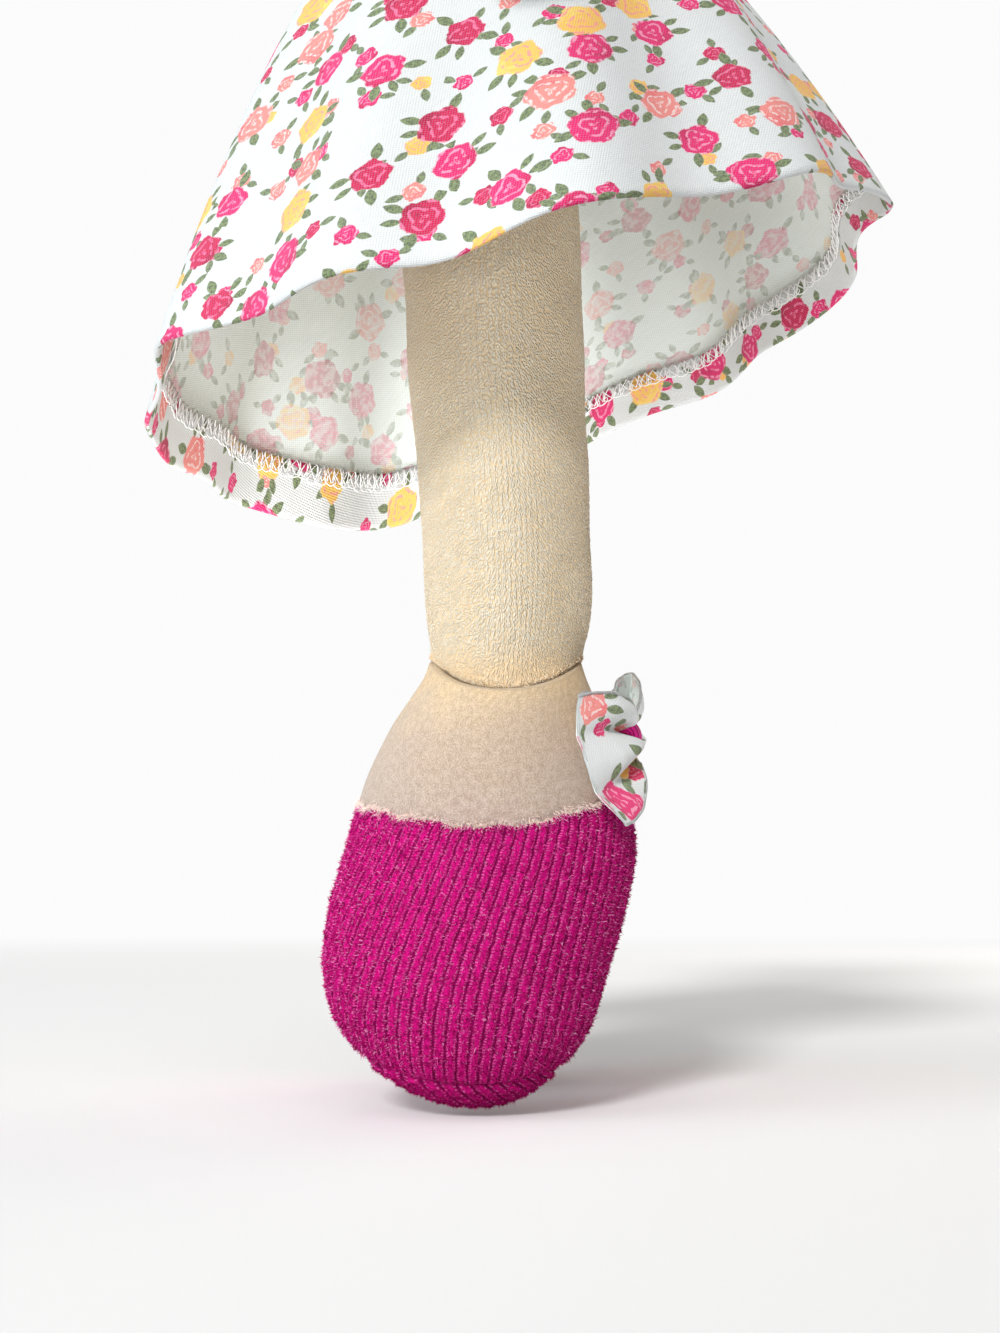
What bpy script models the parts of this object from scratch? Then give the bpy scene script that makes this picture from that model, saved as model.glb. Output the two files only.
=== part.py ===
"""A stuffed rag doll in a gathered print dress, with corduroy shoes and a fabric bow on each shoe.

The doll faces -Y, its own left side is +X, and the waist seam is at the origin. It hangs from
its waist, so the toes droop below. Every stuffed piece is a skin with its filling, modelled as
one solid. Each moving piece is parented to an empty on the line that it turns about.
"""

import math

import bmesh
import bpy
from mathutils import Matrix, Vector

# Counts and plain numbers.
RING_SIDES = 20
HEAD_SIDES = 24
HEAD_RINGS = 13
DOME_RINGS = 4
DOME_STEPS = DOME_RINGS + 0.4
BOW_SIDES = 16
PATCH_SIDES = 14
THUMB_SIDES = 10
TIE_SIDES = 16
BEAD_SIDES = 6
THREAD_RESOLUTION = 1
MOUTH_POINTS = 11
SKIRT_COLUMNS = 66
SKIRT_ROWS = 6
SKIRT_FLUTES = 11
BELL_POWER = 0.65
ROW_POWER = 1.3
FULL_TURN = 2 * math.pi
HALF_TURN = math.pi

# Air between pieces: sewn or tied together, and turning against each other.
SEAM_GAP = 0.0003
TURN_GAP = 0.0006
CUT_OVERRUN = 0.02
WELD_DISTANCE = 0.00001

# Torso.
TORSO_HALF_WIDTH = 0.041
TORSO_HALF_DEPTH = 0.027
TORSO_TOP = 0.055

# Legs. The ankle is the ball at the leg's lower end.
LEG_SPREAD = 0.028
LEG_LEAN = 0.004
LEG_TOP_RADIUS = 0.0215
ANKLE_BALL_RADIUS = 0.0188
HIP_DROP = 0.055
ANKLE_DROP = 0.195

# Feet and shoes, drooping straight down from the ankle.
FOOT_LENGTH = 0.105
FOOT_HALF_DEPTH = 0.0338
FOOT_HALF_WIDTH = 0.0255
FOOT_SKIN_INSET = 0.001
CREASE_DROP = 0.0085
CREASE_DIP = 0.003
SHOE_CLOTH = 0.0015
VAMP_DROP = 0.0375
VAMP_DIP = 0.008

# The bow on each shoe.
BOW_DROP = 0.0265
BOW_REACH = 0.0235
BOW_HALF_HEIGHT = 0.0135
BOW_HALF_THICKNESS = 0.0019
BOW_PINCH_HEIGHT = 0.0042
BOW_SWEEP = 0.0165
KNOT_HALF_WIDTH = 0.0046
KNOT_HALF_HEIGHT = 0.0062
KNOT_HALF_DEPTH = 0.0041
KNOT_STANDOFF = 0.0052

# Arms, held a little away from the body.
SHOULDER_SPREAD = 0.054
SHOULDER_HEIGHT = 0.041
SHOULDER_RADIUS = 0.0135
ARM_LENGTH = 0.105
ARM_TILT = math.radians(25)
ARM_HALF_WIDTH = 0.0135
ARM_HALF_DEPTH = 0.0125
THUMB_LENGTH = 0.0135
THUMB_RADIUS = 0.0052

# Neck and head.
NECK_RADIUS = 0.014
NOD_HEIGHT = 0.080
NOD_REACH = math.radians(13)
HEAD_CENTRE = 0.125
HEAD_HALF_WIDTH = 0.058
HEAD_HALF_DEPTH = 0.054
HEAD_HALF_HEIGHT = 0.058
CHEEK_SHARE = 0.05

# Face.
EYE_SPREAD = 0.0195
EYE_RISE = 0.001
EYE_HALF_WIDTH = 0.0042
EYE_HALF_HEIGHT = 0.0056
STITCH_HEIGHT = 0.0011
NOSE_DROP = 0.0125
NOSE_HALF_WIDTH = 0.0034
NOSE_HALF_HEIGHT = 0.0026
MOUTH_DROP = 0.0170
MOUTH_HALF_WIDTH = 0.0150
MOUTH_SAG = 0.0065
MOUTH_THREAD_RADIUS = 0.0009

# Wool hair: a cap with a fringe, and a bunch tied at each side.
HAIR_DEPTH = 0.0065
FRINGE_DEPTH = 0.0055
FACE_HALF_WIDTH = 0.0445
FACE_HALF_HEIGHT = 0.050
FACE_DROP = 0.008
HAIRLINE_SETBACK = 0.002
FRINGE_RISE = 0.026
FRINGE_ARCH = 0.060
BUNCH_RISE = 0.004
BUNCH_SETBACK = 0.006
BUNCH_TIE_RADIUS = 0.0075
BUNCH_RADIUS = 0.0165
BUNCH_LENGTH = 0.058
TIE_RADIUS = 0.0024

# Dress.
BODICE_CLOTH = 0.0012
NECKLINE_HEIGHT = 0.0485
BINDING_HEIGHT = 0.0040
BINDING_CLOTH = 0.0020
ARMHOLE_RADIUS = 0.0105
SLEEVE_LENGTH = 0.044
SLEEVE_RADIUS = 0.0205
SKIRT_LENGTH = 0.1187
SKIRT_TILT = 0.0284
SKIRT_SIDE_SAG = 0.0047
SKIRT_RADIUS = 0.0915
SKIRT_SHIFT = 0.003
SKIRT_CLOTH = 0.0018
FLUTE_DEPTH = 0.0034

# Outlines, as hand-chosen shares of the sizes above.
# Each torso row: height share of the way up, then half width and half depth shares.
TORSO_SHARES = (
    (0.00, 0.90, 0.84), (0.10, 0.98, 0.95), (0.25, 1.00, 1.00), (0.42, 0.94, 0.95),
    (0.60, 0.96, 0.98), (0.76, 1.00, 1.00), (0.87, 1.00, 0.95), (0.95, 0.80, 0.82),
    (1.00, 0.50, 0.62),
)
# Each leg row: share of the way from hip to ankle, then share of the way from the top radius
# to the ball's radius.
LEG_SHARES = ((0.00, 0.00), (0.20, 0.06), (0.40, 0.22), (0.60, 0.48), (0.80, 0.72), (1.00, 1.00))
# Each foot row: height share above the toe, centre share behind the ankle line, half depth
# share and half width share.
FOOT_SHARES = (
    (0.000, 0.163, 0.06, 0.08), (0.014, 0.166, 0.20, 0.27), (0.040, 0.180, 0.37, 0.46),
    (0.086, 0.216, 0.57, 0.66), (0.141, 0.228, 0.73, 0.80), (0.203, 0.245, 0.86, 0.90),
    (0.290, 0.225, 0.95, 0.98), (0.412, 0.166, 1.00, 1.00), (0.540, 0.092, 0.98, 0.99),
    (0.650, 0.075, 0.90, 0.94), (0.733, 0.071, 0.80, 0.87), (0.800, 0.053, 0.72, 0.80),
    (0.865, 0.018, 0.63, 0.77), (0.919, 0.000, 0.55, 0.74),
)
# Each arm row: share of the way down the arm, half width share and half depth share.
ARM_SHARES = (
    (0.00, 1.00, 1.00), (0.18, 1.00, 1.00), (0.38, 0.96, 0.97), (0.56, 0.88, 0.90),
    (0.68, 0.84, 0.82), (0.78, 1.00, 0.86), (0.88, 1.04, 0.84), (0.95, 0.84, 0.68),
    (0.99, 0.48, 0.42), (1.00, 0.12, 0.12),
)
# Each thumb row: share of the thumb's length, then radius share.
THUMB_SHARES = ((0.0, 1.0), (0.45, 1.0), (0.75, 0.86), (0.93, 0.52), (1.0, 0.12))
THUMB_ROOT_SHARE = 0.76
THUMB_FORWARD_SHARE = 0.75
# Each sleeve row: share of the sleeve's length, then radius share.
SLEEVE_SHARES = (
    (-0.30, 0.42), (-0.20, 0.72), (0.0, 0.93), (0.22, 1.00), (0.50, 0.98), (0.72, 0.88),
    (0.86, 0.78), (0.92, 0.79), (1.00, 0.82),
)
# Each bunch row: share of the bunch's length, then radius share of the full bunch.
BUNCH_SHARES = (
    (0.27, 0.56), (0.40, 0.84), (0.56, 1.00), (0.72, 0.94), (0.86, 0.70), (0.96, 0.38), (1.0, 0.12),
)
# How far the bunch has already turned down where it leaves the tie, and how soon it hangs straight.
BUNCH_START_SHARE = 0.45
BUNCH_BEND_SHARE = 1.6
# Each bow row: share of the reach from the knot, half height share and thickness share.
BOW_SHARES = (
    (0.24, 0.46, 1.00), (0.42, 0.66, 1.35), (0.66, 0.86, 1.40), (0.86, 0.97, 1.10), (1.0, 1.0, 0.60),
)
BOW_WAIST_SHARE = 0.62
BOW_CORNER_POWER = 0.7
BOW_SWEEP_POWER = 1.8
# Each knot row: share of its half width, then fullness share.
KNOT_SHARES = ((-1.0, 0.86), (-0.55, 1.0), (0.55, 1.0), (1.0, 0.86))
# The height on the head where the cheeks are fullest, and how far up and down they fade.
CHEEK_HEIGHT_SHARE = 0.35
CHEEK_SPREAD_SHARE = 0.3
SHARP_ANGLE = math.radians(40)

# Places that follow from the sizes.
TORSO_BOTTOM = LEG_TOP_RADIUS + TURN_GAP - HIP_DROP
TORSO_HEIGHT = TORSO_TOP - TORSO_BOTTOM
TOE_DROP = ANKLE_DROP + FOOT_LENGTH
QUARTER_TURN = HALF_TURN / 2
SIDES = (("left", 1), ("right", -1))
X_AXIS = Vector((1, 0, 0))
Y_AXIS = Vector((0, 1, 0))
Z_AXIS = Vector((0, 0, 1))


def clear_scene():
    """Remove whatever the file was opened with."""
    for thing in list(bpy.data.objects):
        bpy.data.objects.remove(thing, do_unlink=True)


def new_collection(name):
    """Make a collection in the scene."""
    group = bpy.data.collections.new(name)
    bpy.context.scene.collection.children.link(group)
    return group


clear_scene()
PARTS = new_collection("rag_doll")
CUTTERS = new_collection("cutters")


def fabric(name, colour, roughness):
    """A matt cloth, felt or thread."""
    material = bpy.data.materials.new(name)
    material.use_nodes = True
    shader = material.node_tree.nodes["Principled BSDF"]
    shader.inputs["Base Color"].default_value = (*colour, 1)
    shader.inputs["Roughness"].default_value = roughness
    shader.inputs["Metallic"].default_value = 0
    return material


SKIN = fabric("cream_terry", (0.80, 0.66, 0.48), 0.95)
INSTEP = fabric("peach_velour", (0.76, 0.60, 0.48), 0.90)
CORDUROY = fabric("magenta_corduroy", (0.52, 0.02, 0.19), 0.85)
PRINT = fabric("rose_print_cotton", (0.80, 0.72, 0.72), 0.80)
BINDING = fabric("magenta_binding", (0.60, 0.02, 0.20), 0.75)
WOOL = fabric("brown_wool", (0.20, 0.09, 0.04), 0.95)
EYE_THREAD = fabric("dark_eye_thread", (0.03, 0.02, 0.02), 0.50)
NOSE_THREAD = fabric("rose_nose_thread", (0.66, 0.22, 0.18), 0.60)
MOUTH_THREAD = fabric("red_mouth_thread", (0.55, 0.04, 0.06), 0.55)


def pivot(name, place, parent=None):
    """An empty on the line that a piece turns about."""
    empty = bpy.data.objects.new(name, None)
    PARTS.objects.link(empty)
    empty.location = place - pivots[parent.name] if parent else place
    empty.parent = parent
    pivots[name] = place
    return empty


def ring(centre, across, along, half_across, half_along, sides=RING_SIDES):
    """The points of one oval section."""
    points = []
    for step in range(sides):
        turn = FULL_TURN * step / sides
        points.append(centre + across * half_across * math.cos(turn) + along * half_along * math.sin(turn))
    return points


def loft(name, rings, group=None):
    """A closed body through a row of sections that have the same number of points."""
    shape = bmesh.new()
    rows = [[shape.verts.new(point) for point in section] for section in rings]
    count = len(rows[0])
    for lower, upper in zip(rows, rows[1:]):
        for step in range(count):
            after = (step + 1) % count
            shape.faces.new((lower[step], lower[after], upper[after], upper[step]))
    shape.faces.new(rows[0])
    shape.faces.new(rows[-1])
    bmesh.ops.recalc_face_normals(shape, faces=shape.faces)
    mesh = bpy.data.meshes.new(name)
    shape.to_mesh(mesh)
    shape.free()
    return add_mesh(name, mesh, group)


def add_mesh(name, mesh, group=None):
    """Put a mesh in the scene as a part, or as a cutter that the build leaves out."""
    thing = bpy.data.objects.new(name, mesh)
    (group or PARTS).objects.link(thing)
    if group is CUTTERS:
        thing.hide_render = True
        thing.display_type = "WIRE"
    return thing


def combine(piece, tool, operation="DIFFERENCE"):
    """Cut, join or keep a piece with another body."""
    change = piece.modifiers.new(f"{operation.lower()}_{tool.name}", "BOOLEAN")
    change.operation = operation
    change.solver = "EXACT"
    change.object = tool
    return piece


def finish(piece, material, joint=None):
    """Give a piece its cloth, smooth shading and the pivot that carries it."""
    mesh = piece.data
    mesh.materials.append(material)
    mesh.shade_smooth()
    mesh.set_sharp_from_angle(angle=SHARP_ANGLE)
    if joint:
        mesh.transform(Matrix.Translation(-pivots[joint.name]))
        piece.parent = joint
    return piece


def slab(name, low, high):
    """A box cutter between two corners."""
    shape = bmesh.new()
    bmesh.ops.create_cube(shape, size=1)
    mesh = bpy.data.meshes.new(name)
    shape.to_mesh(mesh)
    shape.free()
    size = high - low
    mesh.transform(Matrix.Translation((low + high) / 2) @ Matrix.Diagonal((*size, 1)))
    return add_mesh(name, mesh, CUTTERS)


def oval_bar(name, low, high, across, along, half_across, half_along, sides=32):
    """A straight oval cutter from one point to another."""
    ends = (ring(point, across, along, half_across, half_along, sides) for point in (low, high))
    return loft(name, list(ends), CUTTERS)


def ball(name, centre, radius):
    """A round cutter."""
    shape = bmesh.new()
    bmesh.ops.create_uvsphere(shape, u_segments=RING_SIDES, v_segments=RING_SIDES // 2, radius=radius)
    mesh = bpy.data.meshes.new(name)
    shape.to_mesh(mesh)
    shape.free()
    mesh.transform(Matrix.Translation(centre))
    return add_mesh(name, mesh, CUTTERS)


def arch(name, centre, level, dip, half_width, half_depth, height):
    """A block above a level whose underside bulges down at the sides, to cut a dipping edge.

    The underside is at the level over the middle, and lower by the dip at half the width.
    """
    outline = []
    for step in range(BOW_SIDES + 1):
        share = 2 * step / BOW_SIDES - 1
        outline.append(Vector((centre.x + share * half_width, 0, level - dip * share * share)))
    outline.append(Vector((centre.x + half_width, 0, level + height)))
    outline.append(Vector((centre.x - half_width, 0, level + height)))
    front = Y_AXIS * (centre.y - half_depth)
    back = Y_AXIS * (centre.y + half_depth)
    return loft(name, [[point + front for point in outline], [point + back for point in outline]], CUTTERS)


def torso_rings(grow=0.0):
    """Sections of the stuffed torso, or of a skin that far outside it."""
    middle = (TORSO_TOP + TORSO_BOTTOM) / 2
    reach = TORSO_HEIGHT / 2 + grow
    rows = []
    for rise, width, depth in TORSO_SHARES:
        centre = Z_AXIS * (middle + (2 * rise - 1) * reach)
        half_width = TORSO_HALF_WIDTH * width + grow
        half_depth = TORSO_HALF_DEPTH * depth + grow
        rows.append(ring(centre, X_AXIS, Y_AXIS, half_width, half_depth))
    return rows


def head_fullness(rise):
    """How much the cheeks widen the head at a share of its half height above its middle."""
    return 1 + CHEEK_SHARE * math.exp(-((rise + CHEEK_HEIGHT_SHARE) / CHEEK_SPREAD_SHARE) ** 2)


def head_rings(grow=0.0):
    """Sections of the head, which is fullest at the cheeks."""
    rows = []
    for step in range(1, HEAD_RINGS):
        tilt = HALF_TURN * (step / HEAD_RINGS - 0.5)
        fullness = head_fullness(math.sin(tilt))
        rise = math.sin(tilt) / math.cos(QUARTER_TURN / HEAD_RINGS)
        centre = Z_AXIS * (HEAD_CENTRE + (HEAD_HALF_HEIGHT + grow) * rise)
        width = (HEAD_HALF_WIDTH * fullness + grow) * math.cos(tilt)
        depth = (HEAD_HALF_DEPTH * fullness + grow) * math.cos(tilt)
        rows.append(ring(centre, X_AXIS, Y_AXIS, width, depth, HEAD_SIDES))
    return rows


def face_depth(across, height):
    """How far in front of the neck's line the face lies at a place."""
    rise = height / HEAD_HALF_HEIGHT
    fullness = head_fullness(rise)
    share = 1 - rise * rise - (across / (HEAD_HALF_WIDTH * fullness)) ** 2
    return HEAD_HALF_DEPTH * fullness * math.sqrt(max(share, 0))


def head_width(height):
    """Half the width of the head at a height above its middle."""
    rise = height / HEAD_HALF_HEIGHT
    return HEAD_HALF_WIDTH * head_fullness(rise) * math.sqrt(max(1 - rise * rise, 0))


def leg_radius(share):
    """Radius of the leg at a share of the way from the hip to the ankle."""
    for (before, low), (after, high) in zip(LEG_SHARES, LEG_SHARES[1:]):
        if share <= after:
            mix = low + (high - low) * (share - before) / (after - before)
            return LEG_TOP_RADIUS + (ANKLE_BALL_RADIUS - LEG_TOP_RADIUS) * mix
    return ANKLE_BALL_RADIUS


def leg_rings(hip, ankle):
    """Sections of a leg with a dome at the hip and a ball at the ankle."""
    rows = []
    for step in range(DOME_RINGS, 0, -1):
        lift = QUARTER_TURN * step / DOME_STEPS
        radius = LEG_TOP_RADIUS * math.cos(lift)
        centre = hip + Z_AXIS * LEG_TOP_RADIUS * math.sin(lift)
        rows.append(ring(centre, X_AXIS, Y_AXIS, radius, radius))
    for share, _ in LEG_SHARES:
        radius = leg_radius(share)
        rows.append(ring(hip.lerp(ankle, share), X_AXIS, Y_AXIS, radius, radius))
    for step in range(1, DOME_RINGS + 1):
        drop = QUARTER_TURN * step / DOME_STEPS
        radius = ANKLE_BALL_RADIUS * math.cos(drop)
        centre = ankle - Z_AXIS * ANKLE_BALL_RADIUS * math.sin(drop)
        rows.append(ring(centre, X_AXIS, Y_AXIS, radius, radius))
    return rows


def foot_rings(side, grow=0.0):
    """Sections of a foot from the toe up, or of a cover that far outside it."""
    rows = []
    middle = FOOT_LENGTH * FOOT_SHARES[-1][0] / 2
    stretch = (middle + grow) / middle
    for rise, shift, depth, width in FOOT_SHARES:
        height = middle + (FOOT_LENGTH * rise - middle) * stretch - TOE_DROP
        centre = Vector((side * LEG_SPREAD, FOOT_HALF_DEPTH * shift, height))
        half_width = FOOT_HALF_WIDTH * width + grow
        half_depth = FOOT_HALF_DEPTH * depth + grow
        rows.append(ring(centre, X_AXIS, Y_AXIS, half_width, half_depth))
    return rows


def foot_front(height):
    """The Y of the front of the foot at a height above the toe."""
    share = height / FOOT_LENGTH
    for low, high in zip(FOOT_SHARES, FOOT_SHARES[1:]):
        if low[0] <= share <= high[0]:
            mix = (share - low[0]) / (high[0] - low[0])
            shift = low[1] + (high[1] - low[1]) * mix
            depth = low[2] + (high[2] - low[2]) * mix
            return FOOT_HALF_DEPTH * (shift - depth)
    return 0.0


def skirt_wall():
    """The outer face of the skirt: a bell with flutes that deepen towards a tilted hem."""
    waist_width = TORSO_HALF_WIDTH + SEAM_GAP + BODICE_CLOTH
    waist_depth = TORSO_HALF_DEPTH + SEAM_GAP + BODICE_CLOTH
    shape = bmesh.new()
    rows = []
    for row in range(SKIRT_ROWS + 1):
        share = (row / SKIRT_ROWS) ** ROW_POWER
        flare = share ** BELL_POWER
        points = []
        for column in range(SKIRT_COLUMNS):
            turn = FULL_TURN * column / SKIRT_COLUMNS
            flute = FLUTE_DEPTH * share * math.cos(SKIRT_FLUTES * turn)
            width = waist_width + (SKIRT_RADIUS - waist_width) * flare + flute
            depth = waist_depth + (SKIRT_RADIUS - waist_depth) * flare + flute
            length = SKIRT_LENGTH + SKIRT_TILT * math.cos(turn) - SKIRT_SIDE_SAG * math.cos(2 * turn)
            back = depth * math.cos(turn) - SKIRT_SHIFT * flare
            points.append(shape.verts.new((width * math.sin(turn), back, -share * length)))
        rows.append(points)
    for upper, lower in zip(rows, rows[1:]):
        for column in range(SKIRT_COLUMNS):
            after = (column + 1) % SKIRT_COLUMNS
            shape.faces.new((upper[column], upper[after], lower[after], lower[column]))
    bmesh.ops.recalc_face_normals(shape, faces=shape.faces)
    mesh = bpy.data.meshes.new("skirt")
    shape.to_mesh(mesh)
    shape.free()
    return add_mesh("skirt", mesh)


pivots = {}
NECK_PIVOT = pivot("neck_pivot", Z_AXIS * TORSO_TOP)
HEAD_PIVOT = pivot("head_pivot", Z_AXIS * NOD_HEIGHT, NECK_PIVOT)


def make_torso():
    """The stuffed trunk, flat underneath where the legs are sewn on."""
    finish(loft("torso", torso_rings()), SKIN)


def make_neck():
    """A stuffed neck with a rounded top that the head nods on."""
    base = TORSO_TOP + SEAM_GAP
    rows = [ring(Z_AXIS * base, X_AXIS, Y_AXIS, NECK_RADIUS, NECK_RADIUS)]
    for step in range(DOME_RINGS + 1):
        lift = QUARTER_TURN * step / DOME_STEPS
        radius = NECK_RADIUS * math.cos(lift)
        centre = Z_AXIS * (NOD_HEIGHT + NECK_RADIUS * math.sin(lift))
        rows.append(ring(centre, X_AXIS, Y_AXIS, radius, radius))
    finish(loft("neck", rows), SKIN, NECK_PIVOT)


def make_head():
    """The head, with a hollow underneath that lets it nod on the neck."""
    head = loft("head", head_rings())
    combine(head, ball("nod_socket", Z_AXIS * NOD_HEIGHT, NECK_RADIUS + TURN_GAP))
    mouth_height = HEAD_CENTRE - HEAD_HALF_HEIGHT - CUT_OVERRUN / 2
    flare = (NOD_HEIGHT - mouth_height) * math.tan(NOD_REACH)
    clear = NECK_RADIUS + TURN_GAP
    rows = [
        ring(Z_AXIS * mouth_height, X_AXIS, Y_AXIS, clear + flare, clear + flare),
        ring(Z_AXIS * NOD_HEIGHT, X_AXIS, Y_AXIS, clear, clear),
    ]
    combine(head, loft("nod_mouth", rows, CUTTERS))
    finish(head, SKIN, HEAD_PIVOT)


def face_patch(name, centre_x, centre_z, half_width, half_height):
    """A satin-stitched oval that lies on the face."""
    front = Vector((centre_x, -HEAD_HALF_DEPTH - CUT_OVERRUN, centre_z))
    back = Vector((centre_x, -HEAD_HALF_DEPTH / 2, centre_z))
    rings = [ring(point, X_AXIS, Z_AXIS, half_width, half_height, PATCH_SIDES) for point in (back, front)]
    patch = loft(name, rings)
    combine(patch, FACE_TOP, "INTERSECT")
    combine(patch, FACE_SEAT)
    return patch


def make_face():
    """Two eyes and a nose in satin stitch, and a mouth of one thick thread."""
    for side_name, side in SIDES:
        height = HEAD_CENTRE + EYE_RISE
        eye = face_patch(f"eye_{side_name}", side * EYE_SPREAD, height, EYE_HALF_WIDTH, EYE_HALF_HEIGHT)
        finish(eye, EYE_THREAD, HEAD_PIVOT)
    nose = face_patch("nose", 0, HEAD_CENTRE - NOSE_DROP, NOSE_HALF_WIDTH, NOSE_HALF_HEIGHT)
    finish(nose, NOSE_THREAD, HEAD_PIVOT)
    seat = SEAM_GAP + MOUTH_THREAD_RADIUS
    curve = bpy.data.curves.new("mouth", "CURVE")
    curve.dimensions = "3D"
    curve.bevel_depth = MOUTH_THREAD_RADIUS
    curve.bevel_resolution = THREAD_RESOLUTION
    curve.use_fill_caps = True
    line = curve.splines.new("POLY")
    line.points.add(MOUTH_POINTS - 1)
    for step, point in enumerate(line.points):
        share = 2 * step / (MOUTH_POINTS - 1) - 1
        across = MOUTH_HALF_WIDTH * share
        height = -MOUTH_DROP - MOUTH_SAG * (1 - share * share)
        point.co = (across, -face_depth(across, height) - seat, HEAD_CENTRE + height, 1)
    thread = bpy.data.objects.new("mouth_line", curve)
    CUTTERS.objects.link(thread)
    bpy.context.view_layer.update()
    graph = bpy.context.evaluated_depsgraph_get()
    mesh = bpy.data.meshes.new_from_object(thread.evaluated_get(graph))
    shape = bmesh.new()
    shape.from_mesh(mesh)
    bmesh.ops.remove_doubles(shape, verts=shape.verts, dist=WELD_DISTANCE)
    shape.to_mesh(mesh)
    shape.free()
    bpy.data.objects.remove(thread)
    finish(add_mesh("mouth", mesh), MOUTH_THREAD, HEAD_PIVOT)


def face_window(name, half_width, half_height, height, depth_from):
    """An upright oval bar that runs forward out of the head."""
    front = Vector((0, -HEAD_HALF_DEPTH - CUT_OVERRUN, height))
    back = Vector((0, depth_from, height))
    return oval_bar(name, back, front, X_AXIS, Z_AXIS, half_width, half_height)


def make_hair():
    """The wool cap, open at the face and the neck, and the fringe in the top of that opening."""
    seat = loft("hair_seat", head_rings(SEAM_GAP), CUTTERS)
    face_height = HEAD_CENTRE - FACE_DROP
    cap = loft("hair", head_rings(HAIR_DEPTH))
    combine(cap, seat)
    opening = face_window("face_opening", FACE_HALF_WIDTH, FACE_HALF_HEIGHT, face_height, -HAIRLINE_SETBACK)
    combine(cap, opening)
    nape = HEAD_CENTRE - HEAD_HALF_HEIGHT / 2
    low = Vector((-HEAD_HALF_WIDTH - CUT_OVERRUN, -HEAD_HALF_DEPTH - CUT_OVERRUN, -CUT_OVERRUN))
    high = Vector((HEAD_HALF_WIDTH + CUT_OVERRUN, HEAD_HALF_DEPTH + CUT_OVERRUN, nape))
    combine(cap, slab("nape_cut", low, high))
    finish(cap, WOOL, HEAD_PIVOT)
    fringe = loft("fringe", head_rings(FRINGE_DEPTH))
    combine(fringe, seat)
    inner = face_window("fringe_edge", FACE_HALF_WIDTH - SEAM_GAP, FACE_HALF_HEIGHT - SEAM_GAP, face_height,
                        -HAIRLINE_SETBACK - SEAM_GAP)
    combine(fringe, inner, "INTERSECT")
    brow = HEAD_CENTRE + FRINGE_RISE - FRINGE_ARCH
    combine(fringe, face_window("brow_line", FACE_HALF_WIDTH, FRINGE_ARCH, brow, 0))
    finish(fringe, WOOL, HEAD_PIVOT)


def make_bunch(side_name, side):
    """A tied bunch of hair at one side of the head, with the tie round its root."""
    tie_reach = BUNCH_TIE_RADIUS + SEAM_GAP + 2 * TIE_RADIUS
    temple = max(head_width(BUNCH_RISE + step * tie_reach) for step in (-1, -0.5, 0, 0.5, 1))
    out = X_AXIS * side
    root = Vector((side * temple, BUNCH_SETBACK, HEAD_CENTRE + BUNCH_RISE))
    tie_place = root + out * (HAIR_DEPTH + SEAM_GAP + TIE_RADIUS)
    after_tie = tie_place + out * (TIE_RADIUS + SEAM_GAP)
    rows = []
    for centre in (root - out * HAIR_DEPTH, after_tie):
        rows.append(ring(centre, Z_AXIS, Y_AXIS, BUNCH_TIE_RADIUS, BUNCH_TIE_RADIUS))
    first_share = BUNCH_SHARES[0][0]
    for share, fullness in BUNCH_SHARES:
        passed = (share - first_share) / (1 - first_share)
        heading = QUARTER_TURN * min(passed * BUNCH_BEND_SHARE + BUNCH_START_SHARE, 1)
        across = out * math.sin(heading) + Z_AXIS * math.cos(heading)
        reach = BUNCH_RADIUS * (first_share + 1 - math.cos(heading))
        centre = after_tie + out * reach - Z_AXIS * BUNCH_LENGTH * (share - first_share)
        rows.append(ring(centre, across, Y_AXIS, BUNCH_RADIUS * fullness, BUNCH_RADIUS * fullness))
    bunch = loft(f"bunch_{side_name}", rows)
    combine(bunch, HAIR_SKIN)
    finish(bunch, WOOL, HEAD_PIVOT)
    bpy.ops.mesh.primitive_torus_add(
        major_segments=TIE_SIDES,
        minor_segments=BEAD_SIDES,
        major_radius=BUNCH_TIE_RADIUS + SEAM_GAP + TIE_RADIUS,
        minor_radius=TIE_RADIUS,
    )
    mesh = bpy.context.object.data
    bpy.data.objects.remove(bpy.context.object)
    mesh.name = f"hair_tie_{side_name}"
    mesh.transform(Matrix.Translation(tie_place) @ Matrix.Rotation(QUARTER_TURN, 4, "Y"))
    finish(add_mesh(f"hair_tie_{side_name}", mesh), BINDING, HEAD_PIVOT)


def arm_rings(shoulder, down, across, grow=0.0):
    """Sections of an arm with a dome at the shoulder, or of a bore that far outside it."""
    rows = []
    dome = SHOULDER_RADIUS + grow
    for step in range(DOME_RINGS, 0, -1):
        lift = QUARTER_TURN * step / DOME_STEPS
        radius = dome * math.cos(lift)
        rows.append(ring(shoulder - down * dome * math.sin(lift), across, Y_AXIS, radius, radius))
    for share, width, depth in ARM_SHARES:
        centre = shoulder + down * ARM_LENGTH * share
        half_width = ARM_HALF_WIDTH * width + grow
        half_depth = ARM_HALF_DEPTH * depth + grow
        rows.append(ring(centre, across, Y_AXIS, half_width, half_depth))
    return rows


def body_side(name, side, distance):
    """A cutter that takes away what lies nearer to the body than an upright face."""
    reach = TORSO_HALF_WIDTH + ARM_LENGTH
    low = Vector((min(side * distance, 0), -reach, -reach))
    high = Vector((max(side * distance, 0), reach, reach))
    return slab(name, low, high)


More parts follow.
